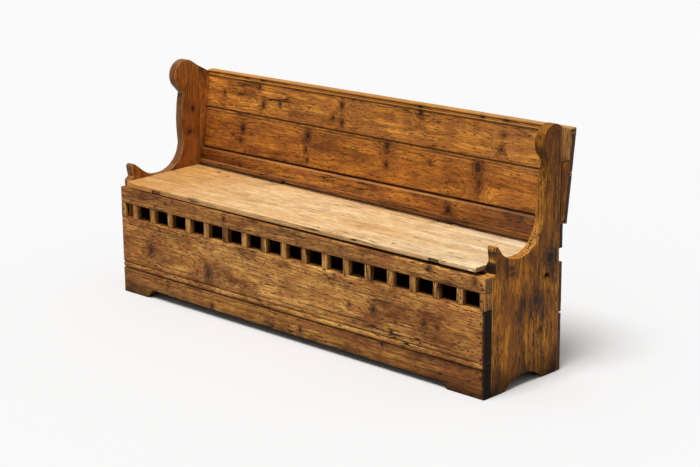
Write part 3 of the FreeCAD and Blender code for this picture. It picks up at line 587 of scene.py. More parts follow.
class PineColour(Effect):
    """Colour, roughness and height of old pine from its figure and marks, with painted shade and
    highlights.
    """

    name = "pine colour"
    inputs = {**dict.fromkeys(("Pale", "Honey", "Brown", "Rosy", "Knot", "Dark", "Worn", "End",
                               "Rim"), GREY),
              **dict.fromkeys(("Late wood", "Fibre", "Streak", "Heart", "Halo", "Split", "Shake",
                               "Hole", "Fleck", "Speck", "Stain", "Patch", "Bare wood",
                               "Held grime", "Soil", "End mask", "Rim mask", "Ring strength",
                               "Stains", "Flecks", "Fibres", "Patches", "Grime", "Bare",
                               "Roughness"), 0.0)}
    outputs = ("Colour", "Roughness", "Height")

    def make(self) -> dict[str, Socket]:
        """Lay the tones over each other, the deepest marks last.

        Returns:
            Colour, roughness and height.
        """
        tone = self.smooth(self["Streak"], 0.3, 0.68)
        colour = self.mix(tone, self["Honey"], self["Pale"])
        patch = self.times(self["Patch"], self["Patches"])
        ring = self.times(self["Late wood"], self["Ring strength"])
        colour = self.mix(ring, colour, self["Brown"])
        light = self.calc("MULTIPLY_ADD", self.minus(self["Fibre"], 0.5), self["Fibres"], 1.0)
        shade = self.add("CombineColor", (light, light, light)).outputs[0]
        colour = self.mix(1.0, colour, shade, "MULTIPLY")
        rim = self.mix(1.0, self.mix(ring, self["Rim"], self["Brown"]), shade, "MULTIPLY")
        colour = self.mix(self["Rim mask"], self.mix(patch, colour, self["Rosy"]), rim)
        stain = self.times(self["Stain"], self["Stains"])
        colour = self.mix(stain, colour, self["Brown"])
        fleck = self.most(self["Fleck"], self.times(self["Speck"], 1.4))
        fleck = self.times(fleck, self["Flecks"], clamp=True)
        colour = self.mix(fleck, colour, self["Knot"])
        # Bare arrises take the worn colour: real wear, also a painted highlight.
        bare = self.times(self["Bare wood"], self["Bare"])
        colour = self.mix(bare, colour, self["Worn"])
        halo = self.times(self["Halo"], 0.55)
        colour = self.mix(halo, colour, self["Brown"])
        colour = self.mix(self["Heart"], colour, self["Knot"])
        end = self.mix(1.0, self["End"], shade, "MULTIPLY")
        colour = self.mix(self["End mask"], colour, end)
        # Grime with painted shade along the edges of faces.
        grime = self.times(self["Held grime"], self["Grime"])
        # The darkening carries the painted shade inside the box.
        soil = self.most(grime, self["Soil"])
        colour = self.mix(soil, colour, self["Dark"])
        pit = self.most(self.most(self["Split"], self["Shake"]), self["Hole"])
        colour = self.mix(pit, colour, self["Dark"])
        rough = self.calc("MULTIPLY_ADD", self["Fibre"], 0.25, self["Roughness"])
        rough = self.plus(rough, self.times(soil, 0.25), clamp=True)
        ridge = self.calc("MULTIPLY_ADD", self["Fibre"], 0.25, self.times(self["Late wood"], 0.25))
        ridge = self.plus(ridge, self.times(self["Heart"], 0.3))
        height = self.minus(ridge, self.times(pit, 1.6))
        return {"Colour": colour, "Roughness": rough, "Height": height}


@dataclass(frozen=True)
class Knot:
    """One knot on a board's face, in the board's along and across places."""

    along: float
    across: float
    size: float = 0.009
    tall: float = 1.3
    tone: float = 1.0
    black: float = 0.0


@dataclass(frozen=True)
class Split:
    """One drying split along a board's grain."""

    start: float
    end: float
    across: float
    width: float = 0.0022
    rise: float = 0.0


@dataclass(frozen=True)
class Band:
    """One straight band across a board's face, between two levels."""

    low: float
    high: float
    tone: str
    strength: float = 1.0
    rise: float = 0.0
    start: float = -9.0
    end: float = 9.0
    soft: float = 0.001


@dataclass(frozen=True)
class Pine:
    """Finish of one kind of pine surface on the bench."""

    pale: str = "d09450"
    honey: str = "b27436"
    brown: str = "6a3b1d"
    rosy: str = "a4673a"
    knot: str = "2b1912"
    dark: str = "140d09"
    # Worn colour of bare arrises, also a painted highlight.
    worn: str = "e0b279"
    end: str = "5a3c26"
    rim: str = "a9805f"
    ring_width: float = 0.0085
    ring_strength: float = 0.7
    wander: float = 0.03
    patches: float = 0.7
    stains: float = 0.75
    flecks: float = 0.75
    fibres: float = 1.8
    shakes: float = 0.5
    worm: float = 0.35
    # Grime with painted shade along the edges of faces, and its reach.
    grime: float = 0.4
    grime_reach: float = 0.005
    # Bare arrises, also a painted highlight.
    bare: float = 0.65
    soil_height: float = 0.0
    black_from: float = 9.0
    roughness: float = 0.42
    bump: float = 0.35
    bump_depth: float = 0.0012
    # Tones along the board: partly painted shade, partly the wood's own tone.
    left: Colour = PLAIN
    middle: Colour = PLAIN
    right: Colour = PLAIN
    bands: tuple[Band, ...] = ()


@dataclass(frozen=True)
class Wear:
    """How age has worn a board's shape, in metres."""

    arris: float = 0.0016
    step: float = 0.02
    waver: float = 0.0005
    nibble: float = 0.0008
    dents: float = 0.001


@dataclass(frozen=True)
class IronFinish:
    """Finish of nails, screws and hinges: dark oxide with rust."""

    oxide: str = "241d19"
    rust: str = "5b3420"
    roughness: float = 0.5
    bump: float = 0.3
    bump_depth: float = 0.0006

    def material(self) -> bpy.types.Material:
        """Old iron, rusty in patches and pitted all over.

        Returns:
            The material.
        """
        made, graph, shader = new_material("old_iron")
        place = graph.add("TexCoord").outputs["Object"]
        patches = graph.smooth(graph.noise(place, 180.0, 4.0, 0.6), 0.42, 0.62)
        pits = graph.noise(place, 900.0, 3.0, 0.6)
        graph.fill(shader, {
            "Base Color": graph.mix(patches, self.oxide, self.rust),
            "Roughness": graph.calc("MULTIPLY_ADD", patches, 0.35, self.roughness),
            "Metallic": graph.calc("MULTIPLY_ADD", patches, -0.7, 0.8),
            "Normal": graph.bump(self.bump, self.bump_depth, pits)})
        return made


class Woodshop:
    """Holds the effects that all boards share."""

    def __init__(self) -> None:
        """Build the effects."""
        self.figure = Figure()
        self.knot = KnotMark()
        self.split = SplitMark()
        self.marks = AgeMarks()
        self.wear = EdgeWearAndLight()
        self.gloom = Gloom()
        self.colour = PineColour()
        self.band = BandTone()
        self.fade = ToneAndShadeFade()


def slice_faces(mesh: bmesh.types.BMesh, axis: int, step: float) -> None:
    """Cut a mesh by parallel planes, so that its faces can waver.

    Args:
        mesh: Mesh to cut.
        axis: Axis that the planes are square to.
        step: Greatest distance between planes.
    """
    ends = [vertex.co[axis] for vertex in mesh.verts]
    low, high = min(ends), max(ends)
    count = int((high - low) / step)
    places = [low + (high - low) * number / (count + 1) for number in range(1, count + 1)]
    normal = Vector([1.0 if number == axis else 0.0 for number in range(3)])

    def cut(faces: list[bmesh.types.BMFace], first: int, last: int) -> None:
        """Cut the faces by the middle plane, then each half by its own planes.

        Args:
            faces: Faces that the planes may cross.
            first: Number of the first plane.
            last: Number of the last plane.
        """
        if first > last or not faces:
            return
        middle = (first + last) // 2
        edges = list({edge for face in faces for edge in face.edges})
        points = list({point for face in faces for point in face.verts})
        made = bmesh.ops.bisect_plane(mesh, geom=points + edges + faces, dist=TOUCHING,
                                      plane_co=normal * places[middle], plane_no=normal)
        after = [item for item in made["geom"] if isinstance(item, bmesh.types.BMFace)]
        below = [face for face in after if face.calc_center_median()[axis] < places[middle]]
        above = [face for face in after if face.calc_center_median()[axis] >= places[middle]]
        cut(below, first, middle - 1)
        cut(above, middle + 1, last)

    cut(list(mesh.faces), 0, count - 1)


def round_arrises(mesh: bmesh.types.BMesh, width: float) -> None:
    """Round the sharp edges and mark what was rounded.

    Args:
        mesh: Mesh whose edges are rounded.
        width: Distance from the old edge at which the rounding starts.
    """
    layer = mesh.verts.layers.float.new("arris")
    sharp = [edge for edge in mesh.edges
             if len(edge.link_faces) == 2 and edge.calc_face_angle() > SHARP]
    made = bmesh.ops.bevel(mesh, geom=sharp, offset=width, offset_type="OFFSET",
                           segments=ARRIS_ROWS, profile=0.5, affect="EDGES",
                           clamp_overlap=False)
    rounded = set(made["faces"])
    for point in mesh.verts:
        inside = point.link_faces and all(face in rounded for face in point.link_faces)
        point[layer] = 1.0 if inside else 0.0


def waver_surface(mesh: bmesh.types.BMesh, grain: Grain, wear: Wear, seed: int) -> None:
    """Sink points of the surface a little, most at arrises and end grain.

    Args:
        mesh: Mesh whose points move, always into the wood.
        grain: How the board lies.
        wear: How much it is worn.
        seed: Number that moves the noise.
    """
    arris = mesh.verts.layers.float["arris"]
    inset = mesh.verts.layers.float.new("inset")
    rounded = [point for point in mesh.verts if point[arris] > 0.5]
    tree = kdtree.KDTree(max(len(rounded), 1))
    for number, point in enumerate(rounded):
        tree.insert(point.co, number)
    tree.balance()
    shift = Vector([seed * step for step in SHAPE_STEPS])
    along = grain.value[0]
    mesh.normal_update()
    moves = []
    for point in mesh.verts:
        near = tree.find(point.co)[2] if rounded else None
        point[inset] = min(near, REACH_OF_INSET) if near is not None else REACH_OF_INSET
        slow = 0.5 + 0.5 * noise.noise(point.co * SLOW_WAVES + shift)
        quick = max(0.0, noise.noise(point.co * QUICK_WAVES + shift))
        sink = wear.waver * slow + wear.dents * quick * point[arris]
        if abs(point.normal[along]) > END_GRAIN:
            rough = 0.5 + 0.5 * noise.noise(point.co * NIBBLE_WAVES + shift)
            sink += wear.nibble * rough * rough
        moves.append(point.co - point.normal * sink)
    for point, place in zip(mesh.verts, moves):
        point.co = place


@dataclass
class Board:
    """One board or stick of the bench and how it looks."""

    node: str
    grain: Grain = Grain.BENCH_FACE
    body: str = "case"
    slot: str = "old_pine"
    pine: Pine = field(default_factory=Pine)
    wear: Wear = field(default_factory=Wear)
    seed: int = 1
    pith_across: float = 0.3
    pith_depth: float = 0.5
    knots: Sequence[Knot] = ()
    splits: Sequence[Split] = ()
    rims: bool = False

    def shape(self) -> bpy.types.Object:
        """Worn copy of the board's solid.

        Returns:
            The piece, linked to the scene.
        """
        mesh = bmesh.new()
        mesh.from_mesh(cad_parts[self.node].data)
        bmesh.ops.remove_doubles(mesh, verts=mesh.verts, dist=TOUCHING)
        bmesh.ops.dissolve_limit(mesh, angle_limit=FLAT, verts=mesh.verts, edges=mesh.edges)
        round_arrises(mesh, self.wear.arris)
        for axis in self.grain.value[:2]:
            slice_faces(mesh, axis, self.wear.step)
        waver_surface(mesh, self.grain, self.wear, self.seed)
        low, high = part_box(self.node)
        for point in mesh.verts:
            point.co = [min(max(point.co[axis], low[axis]), high[axis]) for axis in range(3)]
        bmesh.ops.triangulate(mesh, faces=[face for face in mesh.faces if len(face.verts) > 4])
        data = bpy.data.meshes.new(f"worn_{self.node}")
        mesh.to_mesh(data)
        mesh.free()
        for face in data.polygons:
            face.use_smooth = True
        data.set_sharp_from_angle(angle=SHADED_SHARP)
        return linked(f"worn_{self.node}", data)

    def turned(self, graph: Graph, socket: Socket) -> Socket:
        """Coordinates or normal in the board's own order of axes."""
        parts = graph.parts(socket)
        return graph.add("CombineXYZ", [parts[axis] for axis in self.grain.value]).outputs[0]

    def soil(self, graph: Graph, shop: Woodshop, seen: Socket, place: Socket) -> Socket:
        """Blackness of the far end, painted shade inside the box, and darker wood near the floor.

        Args:
            graph: The material's graph.
            shop: Holder of the effects.
            seen: Place in the bench's frame.
            place: Place in the board's own order of axes.

        Returns:
            How black the wood is, from 0 to 1.
        """
        # Blackened far end of the board.
        ragged = graph.times(graph.noise(place, 40.0, 4.0, 0.6), END_BLACK_WANDER)
        reach = graph.minus(graph.minus(graph.parts(place)[0], ragged),
                            self.pine.black_from - END_BLACK_WANDER / 2)
        soil = graph.times(graph.smooth(reach, -0.006, 0.004), END_BLACK_STRENGTH)
        # Painted shade inside the box.
        if self.body == "case":
            soil = graph.most(soil, graph.use(shop.gloom, Object_place=seen)["Gloom"])
        # Darker towards the floor, up to the set height.
        if self.pine.soil_height:
            lifted = graph.minus(graph.parts(seen)[2],
                                 graph.times(graph.noise(place, 14.0, 3.0), LOW_DARK_WANDER))
            low = graph.times(graph.smooth(lifted, self.pine.soil_height, -0.03), LOW_DARK_STRENGTH)
            soil = graph.most(soil, low)
        return soil

    def material(self, shop: Woodshop) -> bpy.types.Material:
        """Pine with the board's own figure, knots and splits.

        Args:
            shop: Holder of the effects.

        Returns:
            The material.
        """
        pine = self.pine
        made, graph, shader = new_material(f"pine_{self.node}")
        source = graph.add("TexCoord").outputs
        place = self.turned(graph, source["Object"])
        common = {"Place": place, "Seed": tuple(self.seed * step for step in LOOK_STEPS)}
        knots = dict.fromkeys(KnotMark.outputs, 0.0)
        for knot in self.knots:
            knots = graph.use(shop.knot, knot, **common, **knots)
        split = knots["Core"]
        for line in self.splits:
            split = graph.use(shop.split, line, **common, Split=split)["Split"]
        low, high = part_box(self.node)
        middle = (low + high) / 2
        figure = graph.use(shop.figure, pine, **common, Swirl=knots["Swirl"],
                           Pith_across=middle[self.grain.value[1]] + self.pith_across,
                           Pith_depth=middle[self.grain.value[2]] + self.pith_depth)
        marks = graph.use(shop.marks, pine, **common)
        arris = graph.add("Attribute", attribute_name="arris").outputs["Fac"]
        inset = graph.add("Attribute", attribute_name="inset").outputs["Fac"]
        edges = graph.use(shop.wear, pine, **common, Arris=arris, Inset=inset)
        facing = graph.parts(graph.vector("ABSOLUTE", self.turned(graph, source["Normal"])))
        rim_mask = graph.smooth(facing[2], 0.75, 0.5) if self.rims else 0.0
        result = graph.use(shop.colour, pine, **figure, **marks, **edges, Heart=knots["Heart"],
                           Halo=knots["Halo"], Split=split, Rim_mask=rim_mask,
                           End_mask=graph.smooth(facing[0], 0.7, 0.85),
                           Soil=self.soil(graph, shop, source["Object"], place))
        colour = result["Colour"]
        for band in pine.bands:
            colour = graph.use(shop.band, band, Place=place, Colour=colour)["Colour"]
        if {pine.left, pine.middle, pine.right} != {PLAIN}:
            colour = graph.use(shop.fade, pine, Place=place, Colour=colour)["Colour"]
        graph.fill(shader, {
            "Base Color": colour, "Roughness": result["Roughness"],
            "Specular IOR Level": WOOD_SPECULAR,
            "Normal": graph.bump(pine.bump, pine.bump_depth, result["Height"])})
        return made

    def build(self, shop: Woodshop) -> bpy.types.Object:
        """Make, dress and seat the board.

        Args:
            shop: Holder of the effects.

        Returns:
            The finished piece.
        """
        piece = self.shape()
        piece.data.materials.append(self.material(shop))
        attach(piece, self.body)
        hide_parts(self.node)
        LOG.info("board %s: %d faces", self.node, len(piece.data.polygons))
        return piece


FRONT_PINE = Pine(pale="e4ad62", honey="c48a44", brown="6a3a18", ring_strength=0.75, wander=0.05,
                  stains=0.9, flecks=0.9, middle=tint(1.12, 1.11, 1.04), left=tint(1.0, 0.93, 0.82),
                  right=tint(1.04, 0.99, 0.92))
# Its band is painted shade in the quirk above the bead.
FRONT_BOARD_PINE = replace(FRONT_PINE, end="1c130d", black_from=0.915,
                           bands=(Band(0.124, 0.128, "4a2c16", 0.75),))
PLINTH_PINE = Pine(pale="dca056", honey="b87a3a", stains=0.8, soil_height=0.05, end="1c130d",
                   black_from=0.915, left=tint(1.06, 1.05, 0.95), middle=tint(1.04, 1.02, 0.92),
                   right=tint(0.91, 0.85, 0.76),
                   bands=(Band(0.090, 0.0925, "3a2212", 0.9, rise=0.004),
                          Band(0.0975, 0.101, "1f1209", 0.8)))
BACK_PINE = Pine(pale="dc9848", honey="b8742f", worm=0.25, shakes=0.4, worn="dba668", bare=0.8,
                 middle=tint(1.03, 1.01, 0.88), left=tint(1.18, 1.14, 0.96),
                 right=tint(1.08, 1.08, 1.02))
JOINT_DARK = "170c06"
# Painted highlight along the top edges of back boards 2 and 3.
TOP_EDGE_HIGHLIGHT = "cf9d6c"
TOP_PINE = replace(BACK_PINE, bands=(Band(0.690, 0.6938, JOINT_DARK),))
JOINT_RISE = 0.003
UPPER_PINE = replace(BACK_PINE,
                     bands=(Band(0.6862, 0.6900, TOP_EDGE_HIGHLIGHT, 0.75),
                            Band(0.528, 0.5322, JOINT_DARK, 1.0, JOINT_RISE)),
                     middle=tint(0.98, 0.92, 0.73), left=tint(0.96, 0.88, 0.72),
                     right=tint(1.02, 0.98, 0.86))
LOWER_PINE = replace(BACK_PINE, bands=(Band(0.5245, 0.528, TOP_EDGE_HIGHLIGHT, 0.6, JOINT_RISE),),
                     middle=tint(1.02, 0.98, 0.88), left=tint(0.72, 0.63, 0.5),
                     right=tint(0.71, 0.7, 0.8))
CAP_RISE = 0.0044
# Cap bands: painted highlight on its top, painted shade in the quirk, painted highlight on the
# lower bead, painted shade along its lowest part.
CAP_PINE = replace(BACK_PINE, grime=0.0, flecks=0.3,
                   bands=(Band(0.8395, 0.85, "c79458", 0.6, CAP_RISE),
                          Band(0.8345, 0.8375, "3c2311", 0.75, CAP_RISE),
                          Band(0.8245, 0.8275, "d9a362", 0.55, CAP_RISE),
                          Band(0.8, 0.8225, "24150b", 0.8, CAP_RISE)))
SEAT_PINE = Pine(pale="e9c591", honey="d2a268", brown="a06c42", rosy="c99864", knot="6b4636",
                 worn="d2a470", bare=0.5, rim="c4935c", end="9a6c42", patches=0.5, stains=0.4,
                 flecks=0.4, fibres=1.0, shakes=0.35, worm=0.15, grime=0.25, ring_strength=0.35,
                 roughness=0.36, left=tint(1.02, 0.94, 0.78), middle=tint(1.12, 1.16, 1.2),
                 right=tint(1.12, 1.22, 1.36))
# Darker band over the front of the right horn.
HORN_FRONT_DARK = Band(-0.24, -0.183, "2c1b10", 1.4, start=0.425, end=0.497, soft=0.004)
END_PINE = Pine(pale="e39a3a", honey="b06a24", brown="432410", rosy="8f5526", rim="d89b5c",
                end="c88b4f", stains=0.95, shakes=0.75, flecks=0.9, fibres=2.2, soil_height=0.1,
                worm=0.45, grime=0.25, bare=0.7, worn="d9a468", middle=tint(1.1, 1.07, 0.84),
                right=tint(0.78, 0.7, 0.36), bands=(HORN_FRONT_DARK,))
LEFT_END_PINE = Pine(pale="cf8438", honey="b56c2a", rim="966439", end="966439", shakes=0.15,
                     stains=0.6, patches=0.4, flecks=0.6, worn="cf9a66", bare=0.8, soil_height=0.06,
                     grime=0.3)
REED_PINE = Pine(pale="a86a32", honey="844d20", grime=0.0, brown="3d2110", flecks=0.3, patches=0.3,
                 bare=0.15)
# Inner pieces: dark brown, partly the wood's dirty tone and partly painted shade of the closed box.
INNER_PINE = Pine(pale="5a4029", honey="45301e", brown="251a11", rosy="3f2c1e")
BATTEN_PINE = replace(INNER_PINE, end="86603c", dark="5d3f27", grime=0.0)


class Part:
    """A sub-assembly of boards."""

    def boards(self) -> Iterator[Board]:
        """Its boards, in the order of making."""
        raise NotImplementedError

    def build(self, shop: Woodshop) -> None:
        """Make, dress and report the boards.

        Args:
            shop: Holder of the effects.
        """
        for board in self.boards():
            board.build(shop)
        LOG.info("%s done", type(self).__name__)


@dataclass
class Front(Part):
    """Rail, posts, balusters, front board and plinth."""

    balusters: int = 17

    def boards(self) -> Iterator[Board]:
        """The boards above and below the open row, and the row itself.

        Returns:
            The boards, in the order of making.
        """
        yield Board("front_top_rail", seed=2,
                    pine=replace(FRONT_PINE, middle=tint(0.94, 0.9, 0.86),
                                 right=tint(1.12, 1.1, 1.04), end="8a5f38"),
                    knots=(Knot(0.683, 0.413, 0.009, 1.2, 0.8), Knot(0.88, 0.4, 0.010, 1.3, 0.8),
                           Knot(-0.33, 0.40, 0.006)))
        for side in ("left", "right"):
            yield Board(f"front_end_post_{side}", Grain.UPRIGHT_FRONT, pine=FRONT_PINE, seed=3)
        for number in range(1, self.balusters + 1):
            yield Board(f"baluster_{number:02d}", Grain.UPRIGHT_FRONT, pine=FRONT_PINE,
                        wear=Wear(arris=0.0012, step=0.012, nibble=0.0), seed=3 + number)
        yield Board("front_board", pine=FRONT_BOARD_PINE, seed=5, pith_across=-0.03,
                    pith_depth=0.06,
                    knots=(Knot(-0.755, 0.196, 0.014, 1.4, 0.85),
                           Knot(-0.487, 0.164, 0.007, 1.4, 0.6),
                           Knot(-0.424, 0.168, 0.017, 1.5, 0.85),
                           Knot(-0.368, 0.176, 0.007, 1.4, 0.6),
                           Knot(0.427, 0.208, 0.013, 1.2, 0.9), Knot(0.662, 0.209, 0.012, 1.1, 0.9),
                           Knot(0.720, 0.208, 0.008, 1.2, 0.8),
                           Knot(0.313, 0.206, 0.007, 1.2, 0.8)),
                    splits=(Split(-0.93, -0.55, 0.283), Split(-0.93, -0.62, 0.232, 0.0018),
                            Split(-0.90, -0.45, 0.150, 0.0016), Split(-0.2, 0.25, 0.14, 0.0016),
                            Split(0.1, 0.6, 0.262, 0.0014), Split(0.05, 0.45, 0.158, 0.004),
                            Split(0.35, 0.9, 0.143, 0.003)))
        yield Board("plinth_board", pine=PLINTH_PINE, seed=6, pith_across=0.05, pith_depth=0.05,
                    knots=(Knot(0.469, 0.094, 0.008, 1.0), Knot(0.291, 0.023, 0.006),
                           Knot(0.067, 0.055, 0.007), Knot(-0.407, 0.045, 0.007),
                           Knot(-0.66, 0.077, 0.006), Knot(0.908, 0.069, 0.003)),
                    splits=(Split(-0.8, -0.2, 0.072), Split(-0.1, 0.9, 0.07, 0.0016, 0.006),
                            Split(0.5, 0.93, 0.05)))


@dataclass
class Ends(Part):
    """The two shaped end boards and the wedge strips behind them."""

    wear: Wear = Wear(arris=0.0022, waver=0.0004, nibble=0.0, dents=0.0008)

    def boards(self) -> Iterator[Board]:
        """Both ends, whose thickness faces have a tone of their own, and the strips.

        Returns:
            The boards, in the order of making.
        """
        yield Board("end_board_left", Grain.UPRIGHT_END, pine=LEFT_END_PINE, wear=self.wear,
                    seed=11, pith_across=0.02, pith_depth=0.12, rims=True,
                    knots=(Knot(0.693, 0.121, 0.008, 0.8), Knot(0.60, 0.10, 0.006)))
        yield Board("end_board_right", Grain.UPRIGHT_END, pine=END_PINE, wear=self.wear, seed=12,
                    pith_across=-0.05, pith_depth=-0.2, rims=True,
                    knots=(Knot(0.423, 0.106, 0.024, 1.1, 1.0, 0.6),
                           Knot(0.285, 0.034, 0.026, 0.9, 0.9),
                           Knot(0.425, -0.099, 0.006, 2.2, 0.8),
                           Knot(0.405, -0.094, 0.006, 2.2, 0.8),
                           # A hole: its black core is painted shade inside it.
                           Knot(0.359, 0.092, 0.010, 1.0, 1.0, 0.9),
                           Knot(0.764, 0.067, 0.013, 0.8, 0.8)),
                    splits=(Split(0.05, 0.4, 0.07, 0.002), Split(0.02, 0.35, 0.0, 0.002),
                            Split(0.5, 0.86, 0.145, 0.0025)))
        yield Board("end_strip_left", Grain.UPRIGHT_END, pine=BACK_PINE, seed=13)
        yield Board("end_strip_right_upper", Grain.UPRIGHT_END, pine=FRONT_PINE, seed=14)
        yield Board("end_strip_right_lower", Grain.UPRIGHT_END, pine=END_PINE, seed=15)


@dataclass
class Back(Part):
    """Raking boards, mouldings and the boards behind the box."""

    fine: Wear = Wear(arris=0.0006, waver=0.0004, nibble=0.0006, dents=0.0004)

    def boards(self) -> Iterator[Board]:
        """The back from its cap down.

        Returns:
            The boards, in the order of making.
        """
        yield Board("back_cap_moulding", pine=CAP_PINE, wear=self.fine, seed=21,
                    knots=(Knot(-0.573, 0.832, 0.009, 0.9), Knot(0.25, 0.834, 0.008, 0.9),
                           Knot(0.539, 0.835, 0.008, 1.0), Knot(0.646, 0.836, 0.010, 0.7, 0.7)))
        yield Board("back_board_1", pine=TOP_PINE, seed=22, pith_across=0.0, pith_depth=0.07,
                    knots=(Knot(-0.592, 0.803, 0.006), Knot(-0.565, 0.736, 0.009, 1.4),
                           Knot(-0.791, 0.759, 0.006), Knot(-0.474, 0.751, 0.006),
                           Knot(-0.185, 0.735, 0.006), Knot(-0.144, 0.789, 0.008, 1.5),
                           Knot(-0.137, 0.722, 0.009), Knot(0.249, 0.812, 0.010, 1.6, 0.9),
                           Knot(0.636, 0.784, 0.011, 1.1, 0.8),
                           Knot(0.631, 0.732, 0.011, 1.1, 0.8)),
                    splits=(Split(-0.93, -0.4, 0.76, 0.0014),))
        yield Board("back_board_2", pine=UPPER_PINE, seed=23, pith_across=-0.04, pith_depth=0.08,
                    knots=(Knot(-0.672, 0.631, 0.012, 1.4), Knot(-0.678, 0.582, 0.006),
                           Knot(-0.309, 0.649, 0.013, 1.4), Knot(-0.316, 0.595, 0.008),
                           Knot(-0.304, 0.558, 0.006), Knot(0.099, 0.669, 0.012, 1.8, 0.9),
                           Knot(0.102, 0.60, 0.009, 1.4, 0.9), Knot(0.533, 0.655, 0.019, 1.7, 0.9),
                           Knot(0.545, 0.60, 0.012, 2.4, 0.8), Knot(0.313, 0.639, 0.008, 1.0, 0.7)),
                    splits=(Split(-0.93, -0.66, 0.605, 0.0014),))
        yield Board("back_board_3", pine=LOWER_PINE, seed=24,
                    knots=(Knot(0.427, 0.490, 0.014, 1.4, 0.9), Knot(-0.66, 0.475, 0.008),
                           Knot(0.76, 0.52, 0.008, 0.9, 0.5)))
        yield Board("back_foot_moulding", wear=self.fine, seed=25, pine=REED_PINE)
        for number in (4, 5):
            yield Board(f"back_board_{number}", pine=BACK_PINE, seed=22 + number, pith_depth=-0.06)


@dataclass
class Seat(Part):
    """The lifting seat board with its battens."""

    def boards(self) -> Iterator[Board]:
        """The scrubbed pale seat and its battens, dark partly from painted shade.

        Returns:
            The boards, in the order of making.
        """
        yield Board("seat_board", Grain.BENCH_TOP, body="seat_lid", slot="seat_pine",
                    pine=SEAT_PINE, seed=31, pith_across=-0.05, pith_depth=-0.12, rims=True,
                    wear=Wear(arris=0.0025, waver=0.001, nibble=0.002, dents=0.0015),
                    knots=(Knot(-0.721, 0.101, 0.007, 0.6, 1.0, 0.9),
                           Knot(-0.64, 0.073, 0.005, 0.5, 1.0, 0.9),
                           Knot(0.397, 0.115, 0.014, 0.8, 0.5), Knot(0.038, 0.125, 0.005, 0.8, 0.7),
                           Knot(0.706, -0.152, 0.005, 0.5, 0.7),
                           Knot(-0.189, -0.099, 0.004, 0.7, 0.7),
                           Knot(-0.668, 0.005, 0.004, 0.7, 0.7)))
        for side in ("left", "right"):
            yield Board(f"seat_batten_{side}", Grain.DEPTH_SIDE, body="seat_lid", pine=BATTEN_PINE,
                        seed=32)


@dataclass
class Box(Part):
    """What the seat closes: rail, bearers and floor."""

    bearers: tuple[str, ...] = ("seat_bearer_left", "seat_bearer_right", "floor_cleat_left",
                                "floor_cleat_right", "floor_cross_bearer")
    floor_boards: int = 3

    def boards(self) -> Iterator[Board]:
        """The inner pieces, in dark wood that is partly painted shade.

        Returns:
            The boards, in the order of making.
        """
        yield Board("rear_seat_rail", pine=INNER_PINE, seed=41)
        for number, node in enumerate(self.bearers):
            yield Board(node, Grain.DEPTH_SIDE, pine=INNER_PINE, seed=43 + number)
        for number in range(1, self.floor_boards + 1):
            yield Board(f"floor_board_{number}", Grain.BENCH_TOP, pine=INNER_PINE, seed=50 + number)


@dataclass
class Ironwork:
    """Nails, screws and hinges, which keep their own solids."""

    finish: IronFinish = field(default_factory=IronFinish)

    def build(self) -> None:
        """Dress every iron node."""
        iron = self.finish.material()
        for name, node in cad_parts.items():
            if "hinge" in name or "nails" in name:
                node.data.materials.clear()
                node.data.materials.append(iron)
                LOG.info("iron %s", name)


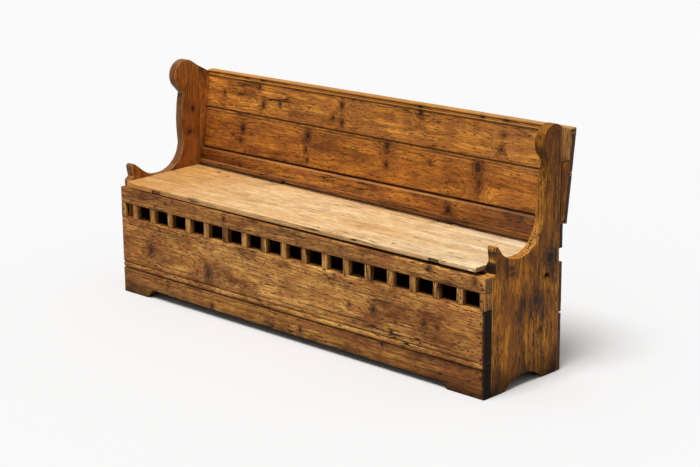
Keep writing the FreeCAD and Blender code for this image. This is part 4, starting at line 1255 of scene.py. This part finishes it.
@dataclass
class Studio:
    """Pale floor, soft light and the camera at the photograph's angle."""

    place: tuple[float, float, float] = (4.39216, -4.50978, 2.07106)
    yaw: float = math.radians(43.621)
    pitch: float = math.radians(15.239)
    roll: float = math.radians(-0.431)
    focal_pixels: float = 1766.68
    photo_width: float = 700.0
    sensor: float = 36.0
    reach: float = 200.0
    floor_half: float = 40.0
    floor_rough: float = 0.9
    floor_seen: Colour = (0.84, 0.84, 0.84, 1.0)
    floor_bounce: Colour = (0.35, 0.35, 0.35, 1.0)
    sky: float = 0.32
    sun: float = 2.75
    sun_from: tuple[float, float, float] = (0.05, -0.32, 0.84)
    sun_angle: float = math.radians(30)

    def camera(self) -> None:
        """Camera from its place, its three turns and its lens."""
        ahead = Vector((-math.sin(self.yaw) * math.cos(self.pitch),
                        math.cos(self.yaw) * math.cos(self.pitch), -math.sin(self.pitch)))
        level = Vector((math.cos(self.yaw), math.sin(self.yaw), 0.0))
        above = level.cross(ahead)
        right = math.cos(self.roll) * level + math.sin(self.roll) * above
        up = -math.sin(self.roll) * level + math.cos(self.roll) * above
        data = bpy.data.cameras.new("camera")
        data.sensor_width = self.sensor
        data.lens = self.focal_pixels / self.photo_width * self.sensor
        data.clip_end = self.reach
        camera = linked("camera", data)
        camera.matrix_world = Matrix.Translation(self.place) @ Matrix(
            (right, up, -ahead)).transposed().to_4x4()
        bpy.context.scene.camera = camera

    def floor(self) -> None:
        """Wide pale floor that keeps the bench's shadow."""
        half = self.floor_half
        data = bpy.data.meshes.new("floor")
        data.from_pydata([(-half, -half, 0), (half, -half, 0), (half, half, 0),
                          (-half, half, 0)], [], [(0, 1, 2, 3)])
        material, graph, shader = new_material("floor")
        path = graph.add("LightPath").outputs
        seen = graph.most(path["Is Camera Ray"],
                          graph.most(path["Is Glossy Ray"], path["Is Transmission Ray"]))
        graph.fill(shader, {"Base Color": graph.mix(seen, self.floor_bounce, self.floor_seen),
                            "Roughness": self.floor_rough, "Specular IOR Level": 0.0})
        data.materials.append(material)
        linked("floor", data)

    def light(self) -> None:
        """One broad soft light from above and in front, and an even sky."""
        data = bpy.data.lights.new("softbox", "SUN")
        data.energy = self.sun
        data.angle = self.sun_angle
        lamp = linked("softbox", data)
        lamp.rotation_euler = Vector(self.sun_from).to_track_quat("Z", "Y").to_euler()
        world = bpy.data.worlds.new("studio")
        bpy.context.scene.world = world
        world.use_nodes = True
        graph = Graph(world.node_tree)
        seen = graph.most(graph.add("LightPath").outputs["Is Camera Ray"], self.sky)
        graph.fill(world.node_tree.nodes["Background"], {"Color": PLAIN, "Strength": seen})

    def build(self) -> None:
        """Set up the whole studio."""
        self.camera()
        self.floor()
        self.light()
        bpy.context.scene.view_settings.view_transform = "Standard"


def main() -> None:
    """Build the bench piece by piece, then the studio."""
    logging.basicConfig(level=logging.INFO, format="%(message)s")
    shop = Woodshop()
    for part in (Front(), Ends(), Back(), Seat(), Box()):
        part.build(shop)
    Ironwork().build()
    Studio().build()


if __name__ == "__main__":
    main()
